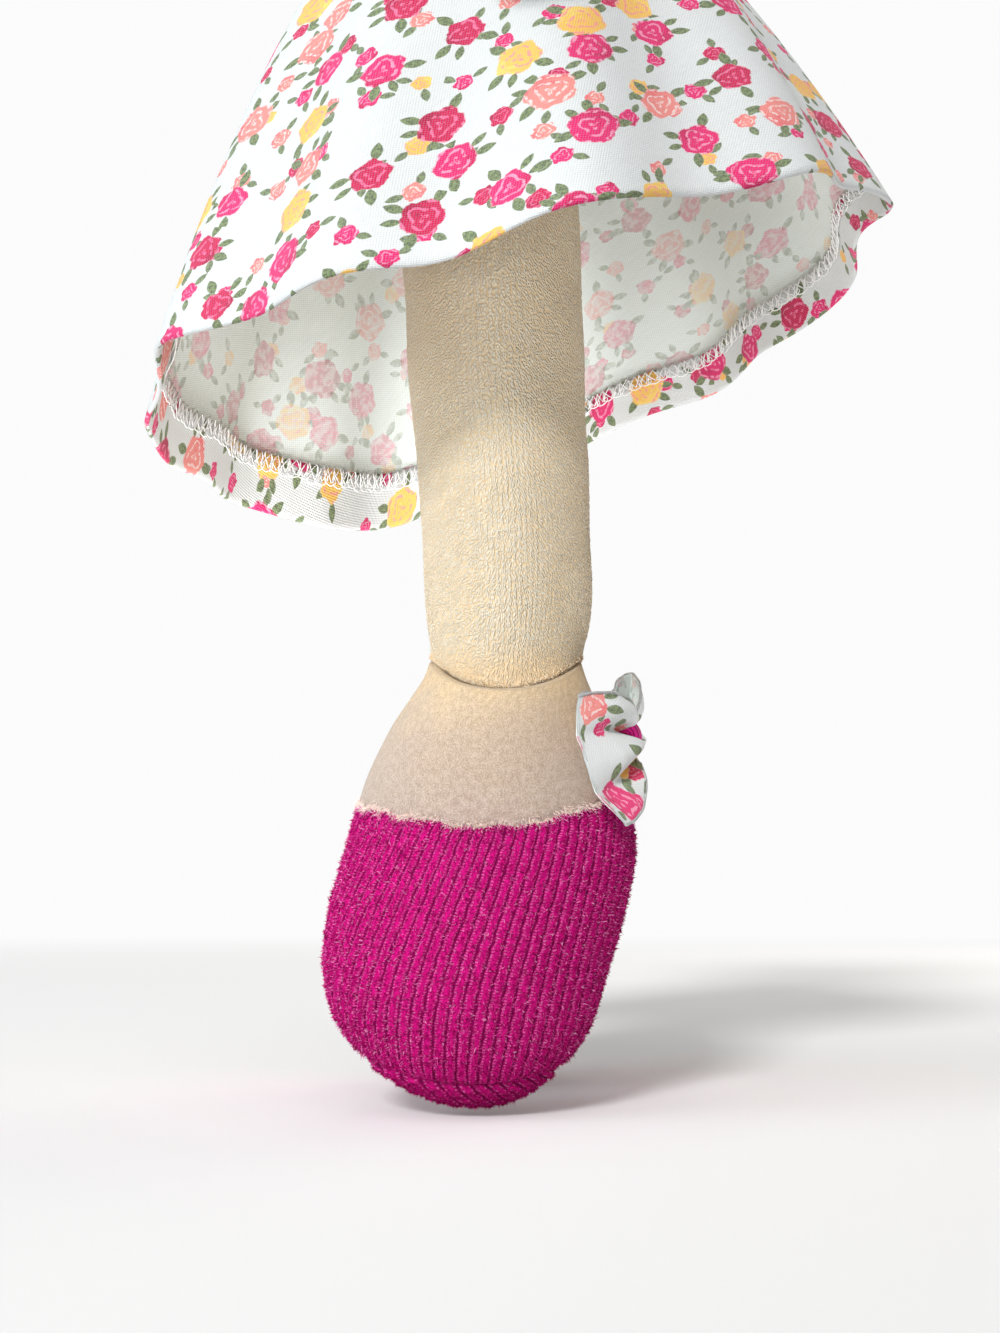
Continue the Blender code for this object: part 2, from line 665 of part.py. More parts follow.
def make_arm(side_name, side):
    """A stuffed arm with a mitten hand and a thumb, and its puffed sleeve."""
    shoulder = Vector((side * SHOULDER_SPREAD, 0, SHOULDER_HEIGHT))
    joint = pivot(f"shoulder_{side_name}", shoulder)
    down = Vector((side * math.sin(ARM_TILT), 0, -math.cos(ARM_TILT)))
    across = Vector((side * math.cos(ARM_TILT), 0, math.sin(ARM_TILT)))

    arm = loft(f"arm_{side_name}", arm_rings(shoulder, down, across))
    thumb_root = shoulder + down * ARM_LENGTH * THUMB_ROOT_SHARE - Y_AXIS * ARM_HALF_DEPTH / 2
    thumb_way = (down - Y_AXIS * THUMB_FORWARD_SHARE).normalized()
    thumb_side = X_AXIS.cross(thumb_way).normalized()
    rows = []
    for share, fullness in THUMB_SHARES:
        centre = thumb_root + thumb_way * THUMB_LENGTH * share
        radius = THUMB_RADIUS * fullness
        rows.append(ring(centre, X_AXIS, thumb_side, radius, radius, THUMB_SIDES))
    combine(arm, loft(f"thumb_{side_name}", rows, CUTTERS), "UNION")
    combine(arm, body_side(f"arm_face_{side_name}", side, TORSO_HALF_WIDTH + TURN_GAP))
    finish(arm, SKIN, joint)

    rows = []
    for share, fullness in SLEEVE_SHARES:
        centre = shoulder + down * SLEEVE_LENGTH * share
        rows.append(ring(centre, across, Y_AXIS, SLEEVE_RADIUS * fullness, SLEEVE_RADIUS * fullness))
    sleeve = loft(f"sleeve_{side_name}", rows)
    bore = loft(f"sleeve_bore_{side_name}", arm_rings(shoulder, down, across, SEAM_GAP), CUTTERS)
    combine(sleeve, bore)
    seat = TORSO_HALF_WIDTH + SEAM_GAP + BODICE_CLOTH + TURN_GAP
    combine(sleeve, body_side(f"sleeve_face_{side_name}", side, seat))
    finish(sleeve, PRINT, joint)


def band(name, reach, low, high):
    """A square cutter between two heights."""
    return slab(name, Vector((-reach, -reach, low)), Vector((reach, reach, high)))


def make_bodice():
    """The top of the dress: a skin of cloth on the torso, with round armholes."""
    bodice = loft("bodice", torso_rings(SEAM_GAP + BODICE_CLOTH))
    seat = loft("dress_seat", torso_rings(SEAM_GAP), CUTTERS)
    combine(bodice, seat)
    reach = TORSO_HALF_WIDTH + CUT_OVERRUN
    bottom = TORSO_BOTTOM - CUT_OVERRUN
    top = TORSO_TOP + CUT_OVERRUN
    combine(bodice, band("below_waist", reach, bottom, SEAM_GAP))
    combine(bodice, band("above_neckline", reach, NECKLINE_HEIGHT, top))
    centre = Z_AXIS * SHOULDER_HEIGHT
    for side_name, side in SIDES:
        inner = centre + X_AXIS * (side * TORSO_HALF_WIDTH / 2)
        outer = centre + X_AXIS * (side * reach)
        hole = oval_bar(f"armhole_{side_name}", inner, outer, Y_AXIS, Z_AXIS, ARMHOLE_RADIUS, ARMHOLE_RADIUS)
        combine(bodice, hole)
    finish(bodice, PRINT)
    binding = loft("neck_binding", torso_rings(SEAM_GAP + BINDING_CLOTH))
    combine(binding, seat)
    level = NECKLINE_HEIGHT + SEAM_GAP
    combine(binding, band("below_binding", reach, bottom, level))
    combine(binding, band("above_binding", reach, level + BINDING_HEIGHT, top))
    finish(binding, BINDING)


def make_skirt():
    """The gathered skirt, a thin wall that hangs open below."""
    skirt = skirt_wall()
    wall = skirt.modifiers.new("cloth", "SOLIDIFY")
    wall.thickness = SKIRT_CLOTH
    wall.offset = -1
    finish(skirt, PRINT)


def make_leg(side_name, side):
    """One leg with its foot, shoe and bow."""
    hip_place = Vector((side * LEG_SPREAD, LEG_LEAN, -HIP_DROP))
    ankle_place = Vector((side * LEG_SPREAD, 0, -ANKLE_DROP))
    hip = pivot(f"hip_{side_name}", hip_place)
    ankle = pivot(f"ankle_{side_name}", ankle_place, hip)
    finish(loft(f"leg_{side_name}", leg_rings(hip_place, ankle_place)), SKIN, hip)

    foot = loft(f"foot_{side_name}", foot_rings(side, -FOOT_SKIN_INSET))
    combine(foot, ball(f"ankle_socket_{side_name}", ankle_place, ANKLE_BALL_RADIUS + TURN_GAP))
    crease = arch(f"crease_{side_name}", ankle_place, -ANKLE_DROP - CREASE_DROP, CREASE_DIP, FOOT_HALF_WIDTH,
                  FOOT_HALF_DEPTH * 2, FOOT_LENGTH)
    combine(foot, crease)
    finish(foot, INSTEP, ankle)

    shoe = loft(f"shoe_{side_name}", foot_rings(side, SHOE_CLOTH + SEAM_GAP - FOOT_SKIN_INSET))
    combine(shoe, loft(f"shoe_lining_{side_name}", foot_rings(side, SEAM_GAP - FOOT_SKIN_INSET), CUTTERS))
    vamp = arch(f"vamp_{side_name}", ankle_place, -ANKLE_DROP - VAMP_DROP, VAMP_DIP, FOOT_HALF_WIDTH * 1.2,
                FOOT_HALF_DEPTH * 2, FOOT_LENGTH)
    combine(shoe, vamp)
    finish(shoe, CORDUROY, ankle)
    make_bow(side_name, side, ankle)


def bow_section(centre, half_height, half_thickness):
    """One upright section of the bow, thinner along its middle fold."""
    points = []
    for step in range(BOW_SIDES):
        turn = FULL_TURN * step / BOW_SIDES
        rise = math.copysign(abs(math.sin(turn)) ** BOW_CORNER_POWER, math.sin(turn))
        swell = math.cos(turn) * (BOW_WAIST_SHARE + (1 - BOW_WAIST_SHARE) * abs(math.sin(turn)))
        points.append(centre + Z_AXIS * half_height * rise + Y_AXIS * half_thickness * swell)
    return points


def bow_rows(middle, wing_rows, grow=0.0):
    """Sections of the bow from one wing to the other through the pinched middle."""
    wing = []
    for share, rise, thick in wing_rows:
        place = (BOW_REACH * share, BOW_SWEEP * share ** BOW_SWEEP_POWER)
        wing.append((*place, BOW_HALF_HEIGHT * rise, BOW_HALF_THICKNESS * thick))
    pinch = (KNOT_HALF_WIDTH / 2, 0, BOW_PINCH_HEIGHT, BOW_HALF_THICKNESS)
    rows = []
    for side, part in ((-1, list(reversed([pinch, *wing]))), (1, [pinch, *wing])):
        for reach, back, half_height, half_thickness in part:
            centre = middle + X_AXIS * side * reach + Y_AXIS * back
            rows.append(bow_section(centre, half_height + grow, half_thickness + grow))
    return rows


def make_bow(side_name, side, ankle):
    """A flat bow pinched in the middle, and the band that wraps the pinch."""
    height = FOOT_LENGTH - BOW_DROP
    middle = Vector((side * LEG_SPREAD, foot_front(height) - KNOT_STANDOFF, height - TOE_DROP))
    finish(loft(f"bow_{side_name}", bow_rows(middle, BOW_SHARES)), PRINT, ankle)
    rows = []
    for share, fullness in KNOT_SHARES:
        centre = middle + X_AXIS * KNOT_HALF_WIDTH * share
        rows.append(ring(centre, Z_AXIS, Y_AXIS, KNOT_HALF_HEIGHT * fullness, KNOT_HALF_DEPTH * fullness))
    knot = loft(f"bow_knot_{side_name}", rows)
    combine(knot, loft(f"knot_bore_{side_name}", bow_rows(middle, BOW_SHARES[:2], TURN_GAP), CUTTERS))
    finish(knot, BINDING, ankle)


make_torso()
make_neck()
make_head()
FACE_TOP = loft("stitch_top", head_rings(SEAM_GAP + STITCH_HEIGHT), CUTTERS)
FACE_SEAT = loft("stitch_seat", head_rings(SEAM_GAP), CUTTERS)
HAIR_SKIN = loft("hair_skin", head_rings(HAIR_DEPTH + SEAM_GAP), CUTTERS)
make_face()
make_hair()
make_bodice()
make_skirt()
for SIDE_NAME, SIDE in SIDES:
    make_bunch(SIDE_NAME, SIDE)
    make_arm(SIDE_NAME, SIDE)
    make_leg(SIDE_NAME, SIDE)
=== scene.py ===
# %% [markdown]
# # A rag doll in a print dress
#
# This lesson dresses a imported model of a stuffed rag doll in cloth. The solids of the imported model
# already have the right sizes and joints, so each cell here makes one real piece of cloth, yarn or
# thread on top of its solid: terry legs, velour feet, corduroy shoes, a flared cotton skirt with
# its turned-up hem, wool hair and a stitched face. The doll faces -Y, and its own left is +X.

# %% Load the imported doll
import math

import bpy
import numpy as np
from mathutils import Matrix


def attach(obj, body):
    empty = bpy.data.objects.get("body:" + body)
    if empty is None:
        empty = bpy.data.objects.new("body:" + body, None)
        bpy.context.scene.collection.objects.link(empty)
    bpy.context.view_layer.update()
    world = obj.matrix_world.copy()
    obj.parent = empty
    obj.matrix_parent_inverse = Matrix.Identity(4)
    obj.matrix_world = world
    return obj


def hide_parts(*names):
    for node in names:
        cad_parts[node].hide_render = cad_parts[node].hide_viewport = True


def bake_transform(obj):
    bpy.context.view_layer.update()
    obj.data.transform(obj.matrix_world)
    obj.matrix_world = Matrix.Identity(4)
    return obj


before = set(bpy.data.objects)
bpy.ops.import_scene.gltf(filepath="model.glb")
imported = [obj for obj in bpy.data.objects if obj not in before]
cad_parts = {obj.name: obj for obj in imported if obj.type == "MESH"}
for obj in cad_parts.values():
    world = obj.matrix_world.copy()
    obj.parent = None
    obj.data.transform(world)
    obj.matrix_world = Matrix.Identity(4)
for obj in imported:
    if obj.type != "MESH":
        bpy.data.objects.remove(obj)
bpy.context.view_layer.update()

MM = 0.001
TURN = 2 * math.pi
SIDES = (("left", 1), ("right", -1))

# %% [markdown]
# ## Rolling cloth into shape
#
# Nearly every piece of a rag doll starts as flat cloth. So the lesson's main tool does the same: it
# adds a flat grid, moves each point of the grid to its place on the doll, and then sews the edges
# together by merging the points that meet. The grid brings a UV map along, and because the map is
# written in metres of cloth, every weave and print later comes out at its real size.


# %% The helpers that roll a grid into a piece
def pick(*pieces):
    """Select these pieces and nothing else, with the first one active."""
    bpy.ops.object.select_all(action="DESELECT")
    for piece in pieces:
        piece.select_set(True)
    bpy.context.view_layer.objects.active = pieces[0]


def point_out(place, around, along, step=2e-4):
    """Unit vectors square to a surface, from the way the surface runs next to each point."""
    sideways = place(around + step, along) - place(around - step, along)
    lengthways = place(around, np.minimum(along + step, 1)) - place(around, np.maximum(along - step, 0))
    square = np.cross(sideways, lengthways)
    return square / np.maximum(np.linalg.norm(square, axis=1, keepdims=True), 1e-12)


def sew(piece, gap=4e-6):
    """Merge the edges that meet, turn the faces outwards and shade the cloth smooth."""
    pick(piece)
    bpy.ops.object.mode_set(mode="EDIT")
    bpy.ops.mesh.select_all(action="SELECT")
    bpy.ops.mesh.remove_doubles(threshold=gap)
    bpy.ops.mesh.normals_make_consistent(inside=False)
    bpy.ops.object.mode_set(mode="OBJECT")
    count = len(piece.data.polygons)
    normal, centre, area = np.empty(count * 3), np.empty(count * 3), np.empty(count)
    piece.data.polygons.foreach_get("normal", normal)
    piece.data.polygons.foreach_get("center", centre)
    piece.data.polygons.foreach_get("area", area)
    centre = centre.reshape(-1, 3)
    outward = ((centre - centre.mean(axis=0)) * normal.reshape(-1, 3)).sum(axis=1)
    if (outward * area).sum() < 0:
        bpy.ops.object.mode_set(mode="EDIT")
        bpy.ops.mesh.flip_normals()
        bpy.ops.object.mode_set(mode="OBJECT")
    bpy.ops.object.shade_smooth()


def roll(name, columns, rows, place, cloth=None, relief=None):
    """Roll a flat grid of cloth: place gives each point, cloth its UV in metres, relief its height."""
    bpy.ops.object.select_all(action="DESELECT")
    bpy.ops.mesh.primitive_grid_add(x_subdivisions=columns, y_subdivisions=rows, size=1)
    piece = bpy.context.object
    piece.name = piece.data.name = name
    mesh = piece.data
    flat = np.empty(len(mesh.vertices) * 3)
    mesh.vertices.foreach_get("co", flat)
    around, along = flat.reshape(-1, 3)[:, :2].T + 0.5
    points = place(around, along)
    if relief is not None:
        out = point_out(place, around, along)
        lean = np.sum(out * (points - points.mean(axis=0)), axis=1).sum()
        points = points + out * math.copysign(1, lean) * relief(around, along)[:, None]
    mesh.vertices.foreach_set("co", points.ravel())
    corner = np.empty(len(mesh.loops), int)
    mesh.loops.foreach_get("vertex_index", corner)
    u, v = cloth(around, along) if cloth else (around, along)
    mesh.uv_layers[0].name = "cloth"
    mesh.uv_layers["cloth"].data.foreach_set("uv", np.stack([u, v], axis=1)[corner].ravel())
    sew(piece)
    return piece


def smooth_rows(rows, count):
    """Rows of numbers read evenly along one smooth curve through a few given rows."""
    rows = np.asarray(rows, float)
    reach = np.concatenate(([0], np.cumsum(np.linalg.norm(np.diff(rows, axis=0), axis=1))))
    slope = np.gradient(rows, reach, axis=0)
    at = np.linspace(0, reach[-1], 40 * len(rows))
    k = np.clip(np.searchsorted(reach, at, side="right") - 1, 0, len(rows) - 2)
    span = (reach[k + 1] - reach[k])[:, None]
    t = (at - reach[k])[:, None] / span
    curve = (
        (2 * t**3 - 3 * t**2 + 1) * rows[k]
        + (t**3 - 2 * t**2 + t) * span * slope[k]
        + (3 * t**2 - 2 * t**3) * rows[k + 1]
        + (t**3 - t**2) * span * slope[k + 1]
    )
    length = np.concatenate(([0], np.cumsum(np.linalg.norm(np.diff(curve, axis=0), axis=1))))
    even = np.linspace(0, length[-1], count)
    return np.stack([np.interp(even, length, column) for column in curve.T], axis=1)


def read(rows, share):
    """The rows at shares of the way along them, one column of numbers after another."""
    at = np.clip(share, 0, 1) * (len(rows) - 1)
    return [np.interp(at, np.arange(len(rows)), column) for column in rows.T]


def ease(value, low, high):
    """Zero below low, one above high, and a smooth rise between them."""
    t = np.clip((value - low) / (high - low), 0, 1)
    return t * t * (3 - 2 * t)


def stretch(along, start, length):
    """How far a place is along one stretch of the grid: zero before it, one behind it."""
    return np.clip((along - start) / length, 0, 1)


def hill(value, middle, width):
    """One at the middle, and a smooth fall to zero on both sides."""
    return np.exp(-(((value - middle) / width) ** 2))


def flat_cloth(width, length):
    """A plain strip of cloth of that width and length in metres."""
    return lambda around, along: (around * width, along * length)


# %% [markdown]
# ## Threads and yarn
#
# Wool hair, overlock stitches and an embroidered mouth are round threads. A thread is swept as a
# thin tube along a row of points, with its ends closed. Many threads go into one mesh, so hundreds
# of stitches still count as one piece.


# %% The helpers that sweep threads and plant fibres
def new_piece(name, spots, faces, uvs):
    """A new piece from its points, its faces and each corner's place on the cloth."""
    mesh = bpy.data.meshes.new(name)
    mesh.from_pydata(spots, [], faces)
    mesh.uv_layers.new(name="cloth").data.foreach_set("uv", np.asarray(uvs, float).ravel())
    piece = bpy.data.objects.new(name, mesh)
    bpy.context.scene.collection.objects.link(piece)
    return piece


def threads(name, paths, radius, sides=6, lift=(0, 0, 1)):
    """One mesh of closed tubes along several rows of points; radius may change along the row."""
    spots, faces, uvs = [], [], []
    turn = np.arange(sides) * TURN / sides
    for path in paths:
        path = np.asarray(path, float)
        way = np.gradient(path, axis=0)
        way /= np.maximum(np.linalg.norm(way, axis=1, keepdims=True), 1e-12)
        side = np.cross(way, np.broadcast_to(np.asarray(lift, float), way.shape))
        side /= np.maximum(np.linalg.norm(side, axis=1, keepdims=True), 1e-9)
        up = np.cross(side, way)
        thick = np.broadcast_to(radius, len(path))
        ring = side[:, None] * np.cos(turn)[:, None] + up[:, None] * np.sin(turn)[:, None]
        first = len(spots)
        spots.extend((path[:, None] + ring * thick[:, None, None]).reshape(-1, 3).tolist())
        spots.extend([path[0].tolist(), path[-1].tolist()])
        run = np.concatenate(([0], np.cumsum(np.linalg.norm(np.diff(path, axis=0), axis=1))))
        last = first + len(path) * sides
        for row in range(len(path) - 1):
            for step in range(sides):
                a = first + row * sides + step
                b = first + row * sides + (step + 1) % sides
                faces.append((a, b, b + sides, a + sides))
                uvs.extend([(step, run[row]), (step + 1, run[row])])
                uvs.extend([(step + 1, run[row + 1]), (step, run[row + 1])])
        for step in range(sides):
            after = (step + 1) % sides
            faces.append((last, first + after, first + step))
            faces.append((last + 1, last - sides + step, last - sides + after))
            uvs.extend([(step, 0)] * 3 + [(step, run[-1])] * 3)
    piece = new_piece(name, spots, faces, uvs)
    sew(piece, gap=1e-7)
    return piece


def tufts(name, roots, ways, length, width, luck_of):
    """One mesh of tiny closed three-sided cones, for pile and fluff that stands off the cloth."""
    count = len(roots)
    ways = ways / np.linalg.norm(ways, axis=1, keepdims=True)
    side = np.cross(ways, np.roll(ways, 1, axis=1) + (0.01, 0.02, 0.03))
    side /= np.linalg.norm(side, axis=1, keepdims=True)
    up = np.cross(ways, side)
    corners = [side * math.cos(turn) + up * math.sin(turn) for turn in (0, TURN / 3, 2 * TURN / 3)]
    width = np.broadcast_to(width, count)[:, None]
    feet = [roots + corner * width for corner in corners]
    spots = np.stack([*feet, roots + ways * length[:, None]], axis=1)
    first = np.arange(count)[:, None, None] * 4
    faces = first + np.array([[0, 1, 3], [1, 2, 3], [2, 0, 3], [2, 1, 0]])
    climb = np.tile([0, 0, 1, 0, 0, 1, 0, 0, 1, 0, 0, 0], count)
    uvs = np.stack([np.repeat(luck_of, 12), climb], axis=1)
    return new_piece(name, spots.reshape(-1, 3).tolist(), faces.reshape(-1, 3).tolist(), uvs)


def keep_change(piece, kind, **settings):
    """Add a modifier, set it and apply it."""
    pick(piece)
    change = piece.modifiers.new(kind.lower(), kind)
    for setting, value in settings.items():
        setattr(change, setting, value)
    bpy.ops.object.modifier_apply(modifier=change.name)


def seat(piece, cloth, node, body):
    """Give a piece its cloth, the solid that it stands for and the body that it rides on."""
    if cloth:
        piece.data.materials.append(cloth)
    if node:
        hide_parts(node)
    if body:
        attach(piece, body)
    print(piece.name, "stands for", node or "no solid", "with", len(piece.data.polygons), "faces")


# %% [markdown]
# ## Arithmetic on shader values
#
# A finish is a network of nodes, and written node by node it is hard to read. A small class wraps a
# socket, so that a sum such as `1 - groove * 0.5` adds its Math nodes by itself. Colours go through
# Mix nodes instead, because a Math node would turn them grey.


# %% A class for shader values and one for finishes
class Value:
    """A socket that ordinary arithmetic can be done on."""

    def __init__(self, finish, socket):
        self.finish = finish
        self.socket = socket

    def math(self, operation, first, second=None):
        """A Math node on one or two values."""
        given = [first] if second is None else [first, second]
        return self.finish.node("ShaderNodeMath", {"operation": operation}, dict(enumerate(given)))

    def __add__(self, other):
        return self.math("ADD", self, other)

    def __radd__(self, other):
        return self.math("ADD", other, self)

    def __sub__(self, other):
        return self.math("SUBTRACT", self, other)

    def __rsub__(self, other):
        return self.math("SUBTRACT", other, self)

    def __mul__(self, other):
        return self.math("MULTIPLY", self, other)

    def __rmul__(self, other):
        return self.math("MULTIPLY", other, self)

    def __truediv__(self, other):
        return self.math("DIVIDE", self, other)

    def __pow__(self, other):
        return self.math("POWER", self, other)

    def sin(self):
        return self.math("SINE", self)

    def size(self):
        return self.math("ABSOLUTE", self)

    def fraction(self):
        return self.math("FRACT", self)

    def whole(self):
        return self.math("FLOOR", self)

    def least(self, other):
        return self.math("MINIMUM", self, other)

    def most(self, other):
        return self.math("MAXIMUM", self, other)

    def rise(self, low, high):
        """Zero below low, one above high, and a smooth rise between them."""
        settings = {"interpolation_type": "SMOOTHSTEP"}
        values = {"Value": self, "From Min": low, "From Max": high}
        return self.finish.node("ShaderNodeMapRange", settings, values)


class Finish:
    """A material, its nodes and the few recipes that every cloth here uses."""

    def __init__(self, name, roughness, sheen=0.0, shine=0.2):
        self.material = bpy.data.materials.new(name)
        self.material.use_nodes = True
        self.tree = self.material.node_tree
        self.shader = self.tree.nodes["Principled BSDF"]
        self.shader.inputs["Roughness"].default_value = roughness
        self.shader.inputs["Specular IOR Level"].default_value = shine
        self.shader.inputs["Sheen Weight"].default_value = sheen
        self.shader.inputs["Sheen Roughness"].default_value = 0.5

    def node(self, kind, settings=None, values=None, output=0):
        """Any node: its settings first, then the values or links of its sockets."""
        made = self.tree.nodes.new(kind)
        for setting, value in (settings or {}).items():
            if setting == "stops":
                while len(made.color_ramp.elements) < len(value):
                    made.color_ramp.elements.new(1.0)
                for stop, (place, colour) in zip(made.color_ramp.elements, value):
                    stop.position = place
                    stop.color = (*colour, 1)
            elif setting == "ramp":
                made.color_ramp.interpolation = value
            else:
                setattr(made, setting, value)
        for key, value in (values or {}).items():
            if isinstance(value, Value):
                self.tree.links.new(value.socket, made.inputs[key])
            elif isinstance(value, (tuple, list)) and made.inputs[key].type == "RGBA":
                made.inputs[key].default_value = (*value, 1)
            else:
                made.inputs[key].default_value = value
        return Value(self, made.outputs[output])

    def uv(self):
        """The two numbers of the piece's own map."""
        return self.node("ShaderNodeUVMap", {"uv_map": "cloth"})

    def cloth(self, scale=1000.0):
        """The place on the cloth in millimetres, as a vector."""
        return self.vector("SCALE", self.uv(), scale=scale)

    def spot(self):
        """The place on the doll in metres, as a vector."""
        return self.node("ShaderNodeTexCoord", {}, {}, "Object")

    def level(self):
        """The height on the doll in millimetres."""
        return self.parts(self.vector("SCALE", self.spot(), scale=1000.0))[2]

    def vector(self, operation, first, second=None, scale=None):
        """A Vector Math node."""
        values = {0: first}
        if second is not None:
            values[1] = second
        if scale is not None:
            values["Scale"] = scale
        output = "Value" if operation == "LENGTH" else "Vector"
        return self.node("ShaderNodeVectorMath", {"operation": operation}, values, output)

    def parts(self, vector):
        """The three numbers of a vector."""
        split = self.node("ShaderNodeSeparateXYZ", {}, {0: vector}).socket.node
        return [Value(self, split.outputs[k]) for k in range(3)]

    def joined(self, x, y, z=0.0):
        """A vector from three numbers."""
        return self.node("ShaderNodeCombineXYZ", {}, {0: x, 1: y, 2: z})

    def noise(self, place, size, detail=2.0, rough=0.5):
        """Soft noise whose lumps are about that many millimetres across."""
        values = {"Vector": place, "Scale": 1 / size, "Detail": detail, "Roughness": rough}
        return self.node("ShaderNodeTexNoise", {"noise_dimensions": "2D"}, values, "Fac")

    def cells(self, place, scale, randomness):
        """Scattered cells: the distance to the nearest middle, that cell's luck, and its middle."""
        values = {"Vector": place, "Scale": scale, "Randomness": randomness}
        cell = self.node("ShaderNodeTexVoronoi", {"voronoi_dimensions": "2D"}, values).socket.node
        return [Value(self, cell.outputs[name]) for name in ("Distance", "Color", "Position")]

    def mix(self, share, first, second, blend="MIX"):
        """A colour between two colours, or with MULTIPLY their product."""
        values = {0: share, 6: first, 7: second}
        return self.node("ShaderNodeMix", {"data_type": "RGBA", "blend_type": blend}, values, 2)

    def ramp(self, share, stops, ramp="LINEAR"):
        """A colour read from a ramp."""
        return self.node("ShaderNodeValToRGB", {"stops": stops, "ramp": ramp}, {0: share}, "Color")

    def wear(self, colour, height=None, depth=0.2):
        """Colour the cloth and raise it by a height, whose full step is depth millimetres."""
        self.tree.links.new(colour.socket, self.shader.inputs["Base Color"])
        if height is not None:
            values = {"Strength": 1.0, "Distance": depth * MM, "Height": height}
            bump = self.node("ShaderNodeBump", {}, values, "Normal")
            self.tree.links.new(bump.socket, self.shader.inputs["Normal"])
        return self.material


# %% [markdown]
# ## Terry: the skin of the legs, arms and body
#
# The legs are looped terry, knitted in upright columns a little over a millimetre apart. Each loop
# lies over like a grain of rice, with painted light on top and a painted golden shadow in the gap.
# Scattered stretched cells make the grains, and a wave across the cloth makes the columns.

# %% Terry
COLUMN = 1.25
LIMB_RADIUS = 19.5
GRAIN = (0.46, 0.78)


def terry(name, light, shade):
    """Looped terry pile, whose grains lean away from each other on either side of a limb."""
    finish = Finish(name, 0.95, sheen=0.2)
    place = finish.cloth()
    across, down, _ = finish.parts(place)
    drift = finish.noise(place, 4.0) - 0.5
    lean = (across * (2 / LIMB_RADIUS)).sin() * 0.62 + drift * 0.5
    middle = (across * (2 / LIMB_RADIUS) + math.pi / 2).sin().rise(0.35, 0.95)
    squeezed = finish.joined((across + drift * 0.8) / GRAIN[0], (down + drift * 1.5) / GRAIN[1])
    _, colour, grain = finish.cells(squeezed, 1.0, 0.95)
    luck, tint, _ = finish.parts(colour)
    off_x, off_y, _ = finish.parts(finish.vector("SUBTRACT", squeezed, grain))
    sideways = off_x * GRAIN[0] - off_y * GRAIN[1] * lean
    reach = finish.vector("LENGTH", finish.joined(sideways / 0.24, off_y * GRAIN[1] / 0.50))
    hump = 1 - reach.rise(0.1, 1.25)
    column = (across * (TURN / COLUMN) + drift * 2.0).sin() * 0.5 + 0.5
    fluff = finish.noise(place, 0.20, detail=2.0, rough=0.7)
    patch = finish.noise(place, 7.0)
    ladder = column * (middle * 0.26 + 0.06)
    height = hump * (luck * 0.5 + 0.6) + ladder + fluff * 0.5
    # Painted shade and light: the tone rises with the grains, columns and fluff that raise the bump, so tops
    # are light and gaps golden; luck and patch vary it at random.
    tone = (hump * 0.62 + ladder * 0.6 + fluff * 0.75 + luck * 0.22 + patch * 0.3 - 0.50).rise(0.10, 0.95)
    colour = finish.mix(tone, shade, light)
    # Painted highlight: a whitish tip on the tops of some grains.
    colour = finish.mix((hump * tint).rise(0.45, 0.9) * 0.5, colour, (0.94, 0.89, 0.78))
    # Painted shade: a golden shadow in the ankle crease, within 7.5 mm of the seam's height.
    near_seam = 1 - ((finish.level() + 205.5) / 7.5).size().least(1.0)
    colour = finish.mix(near_seam * 0.6, colour, (0.92, 0.63, 0.33))
    return finish.wear(colour, height, depth=0.46)


TERRY = terry("cream_terry_cloth", (0.90, 0.82, 0.67), (0.76, 0.58, 0.35))
print("finish:", TERRY.name)

# %% [markdown]
# ## Velour: the instep and the face
#
# Velour is cut pile, so it has no loops, only a soft nap with fine specks. On the instep the colour
# holds painted light, bright yellow under the ankle seam, and painted shade that turns it a greyer,
# darker peach towards the shoe.

# %% Velour
CREASE_LEVEL = -206.0
VAMP_LEVEL = -238.0


def velour(name, colours, ends):
    """Short cut pile whose colour changes between two heights on the doll, in millimetres."""
    finish = Finish(name, 0.9, sheen=0.35)
    place = finish.cloth()
    cloud = finish.noise(place, 9.0) - 0.5
    share = ((finish.level() + cloud * 9.0) - ends[0]) / (ends[1] - ends[0])
    base = finish.ramp(share, colours)
    nap = finish.noise(place, 0.34, detail=3.0, rough=0.8)
    brushed = finish.noise(place, 1.3)
    speck = finish.cells(place, 1.4, 1.0)[0]
    # Painted light and shade in the nap: the noise that raises the nap also lightens its crowns and darkens
    # its hollows.
    tone = (nap * 0.85 + brushed * 0.30).rise(0.36, 0.82)
    shaded = finish.mix(1.0, base, finish.mix(tone, (0.66, 0.58, 0.48), (1.10, 1.10, 1.09)), "MULTIPLY")
    dots = (1 - speck.rise(0.04, 0.13)) * nap.rise(0.5, 0.62)
    colour = finish.mix(dots * 0.35, shaded, (0.55, 0.40, 0.26))
    return finish.wear(colour, nap * 0.9 + brushed * 0.4, depth=0.38)


# The instep's ramp from the shoe up to the seam: painted shade low down, painted light under the seam.
INSTEP_SHADE_TO_LIGHT = (
    (0.0, (0.51, 0.41, 0.37)), (0.22, (0.54, 0.44, 0.37)), (0.60, (0.61, 0.49, 0.39)),
    (0.86, (0.76, 0.60, 0.41)), (1.0, (0.83, 0.63, 0.38)),
)
VELOUR = velour("peach_velour_cloth", INSTEP_SHADE_TO_LIGHT, (VAMP_LEVEL, CREASE_LEVEL))
FACE_COLOURS = ((0.0, (0.92, 0.78, 0.60)), (1.0, (0.94, 0.82, 0.64)))
FACE_VELOUR = velour("cream_velour_cloth", FACE_COLOURS, (70.0, 180.0))
print("finishes:", VELOUR.name, FACE_VELOUR.name)

# %% [markdown]
# ## Corduroy: the shoes
#
# Wide-wale corduroy has ribs of cut pile. Here the shoe's UV map does most of the work: its first
# number counts the ribs, and its second runs along them in millimetres. So the groove between two
# ribs is where the count passes a whole number, and the rows of light loops along a rib's edges are
# dots at a fixed share of that count.

# %% Corduroy
RIB_PITCH = 2.9
LOOP_PITCH = 0.62


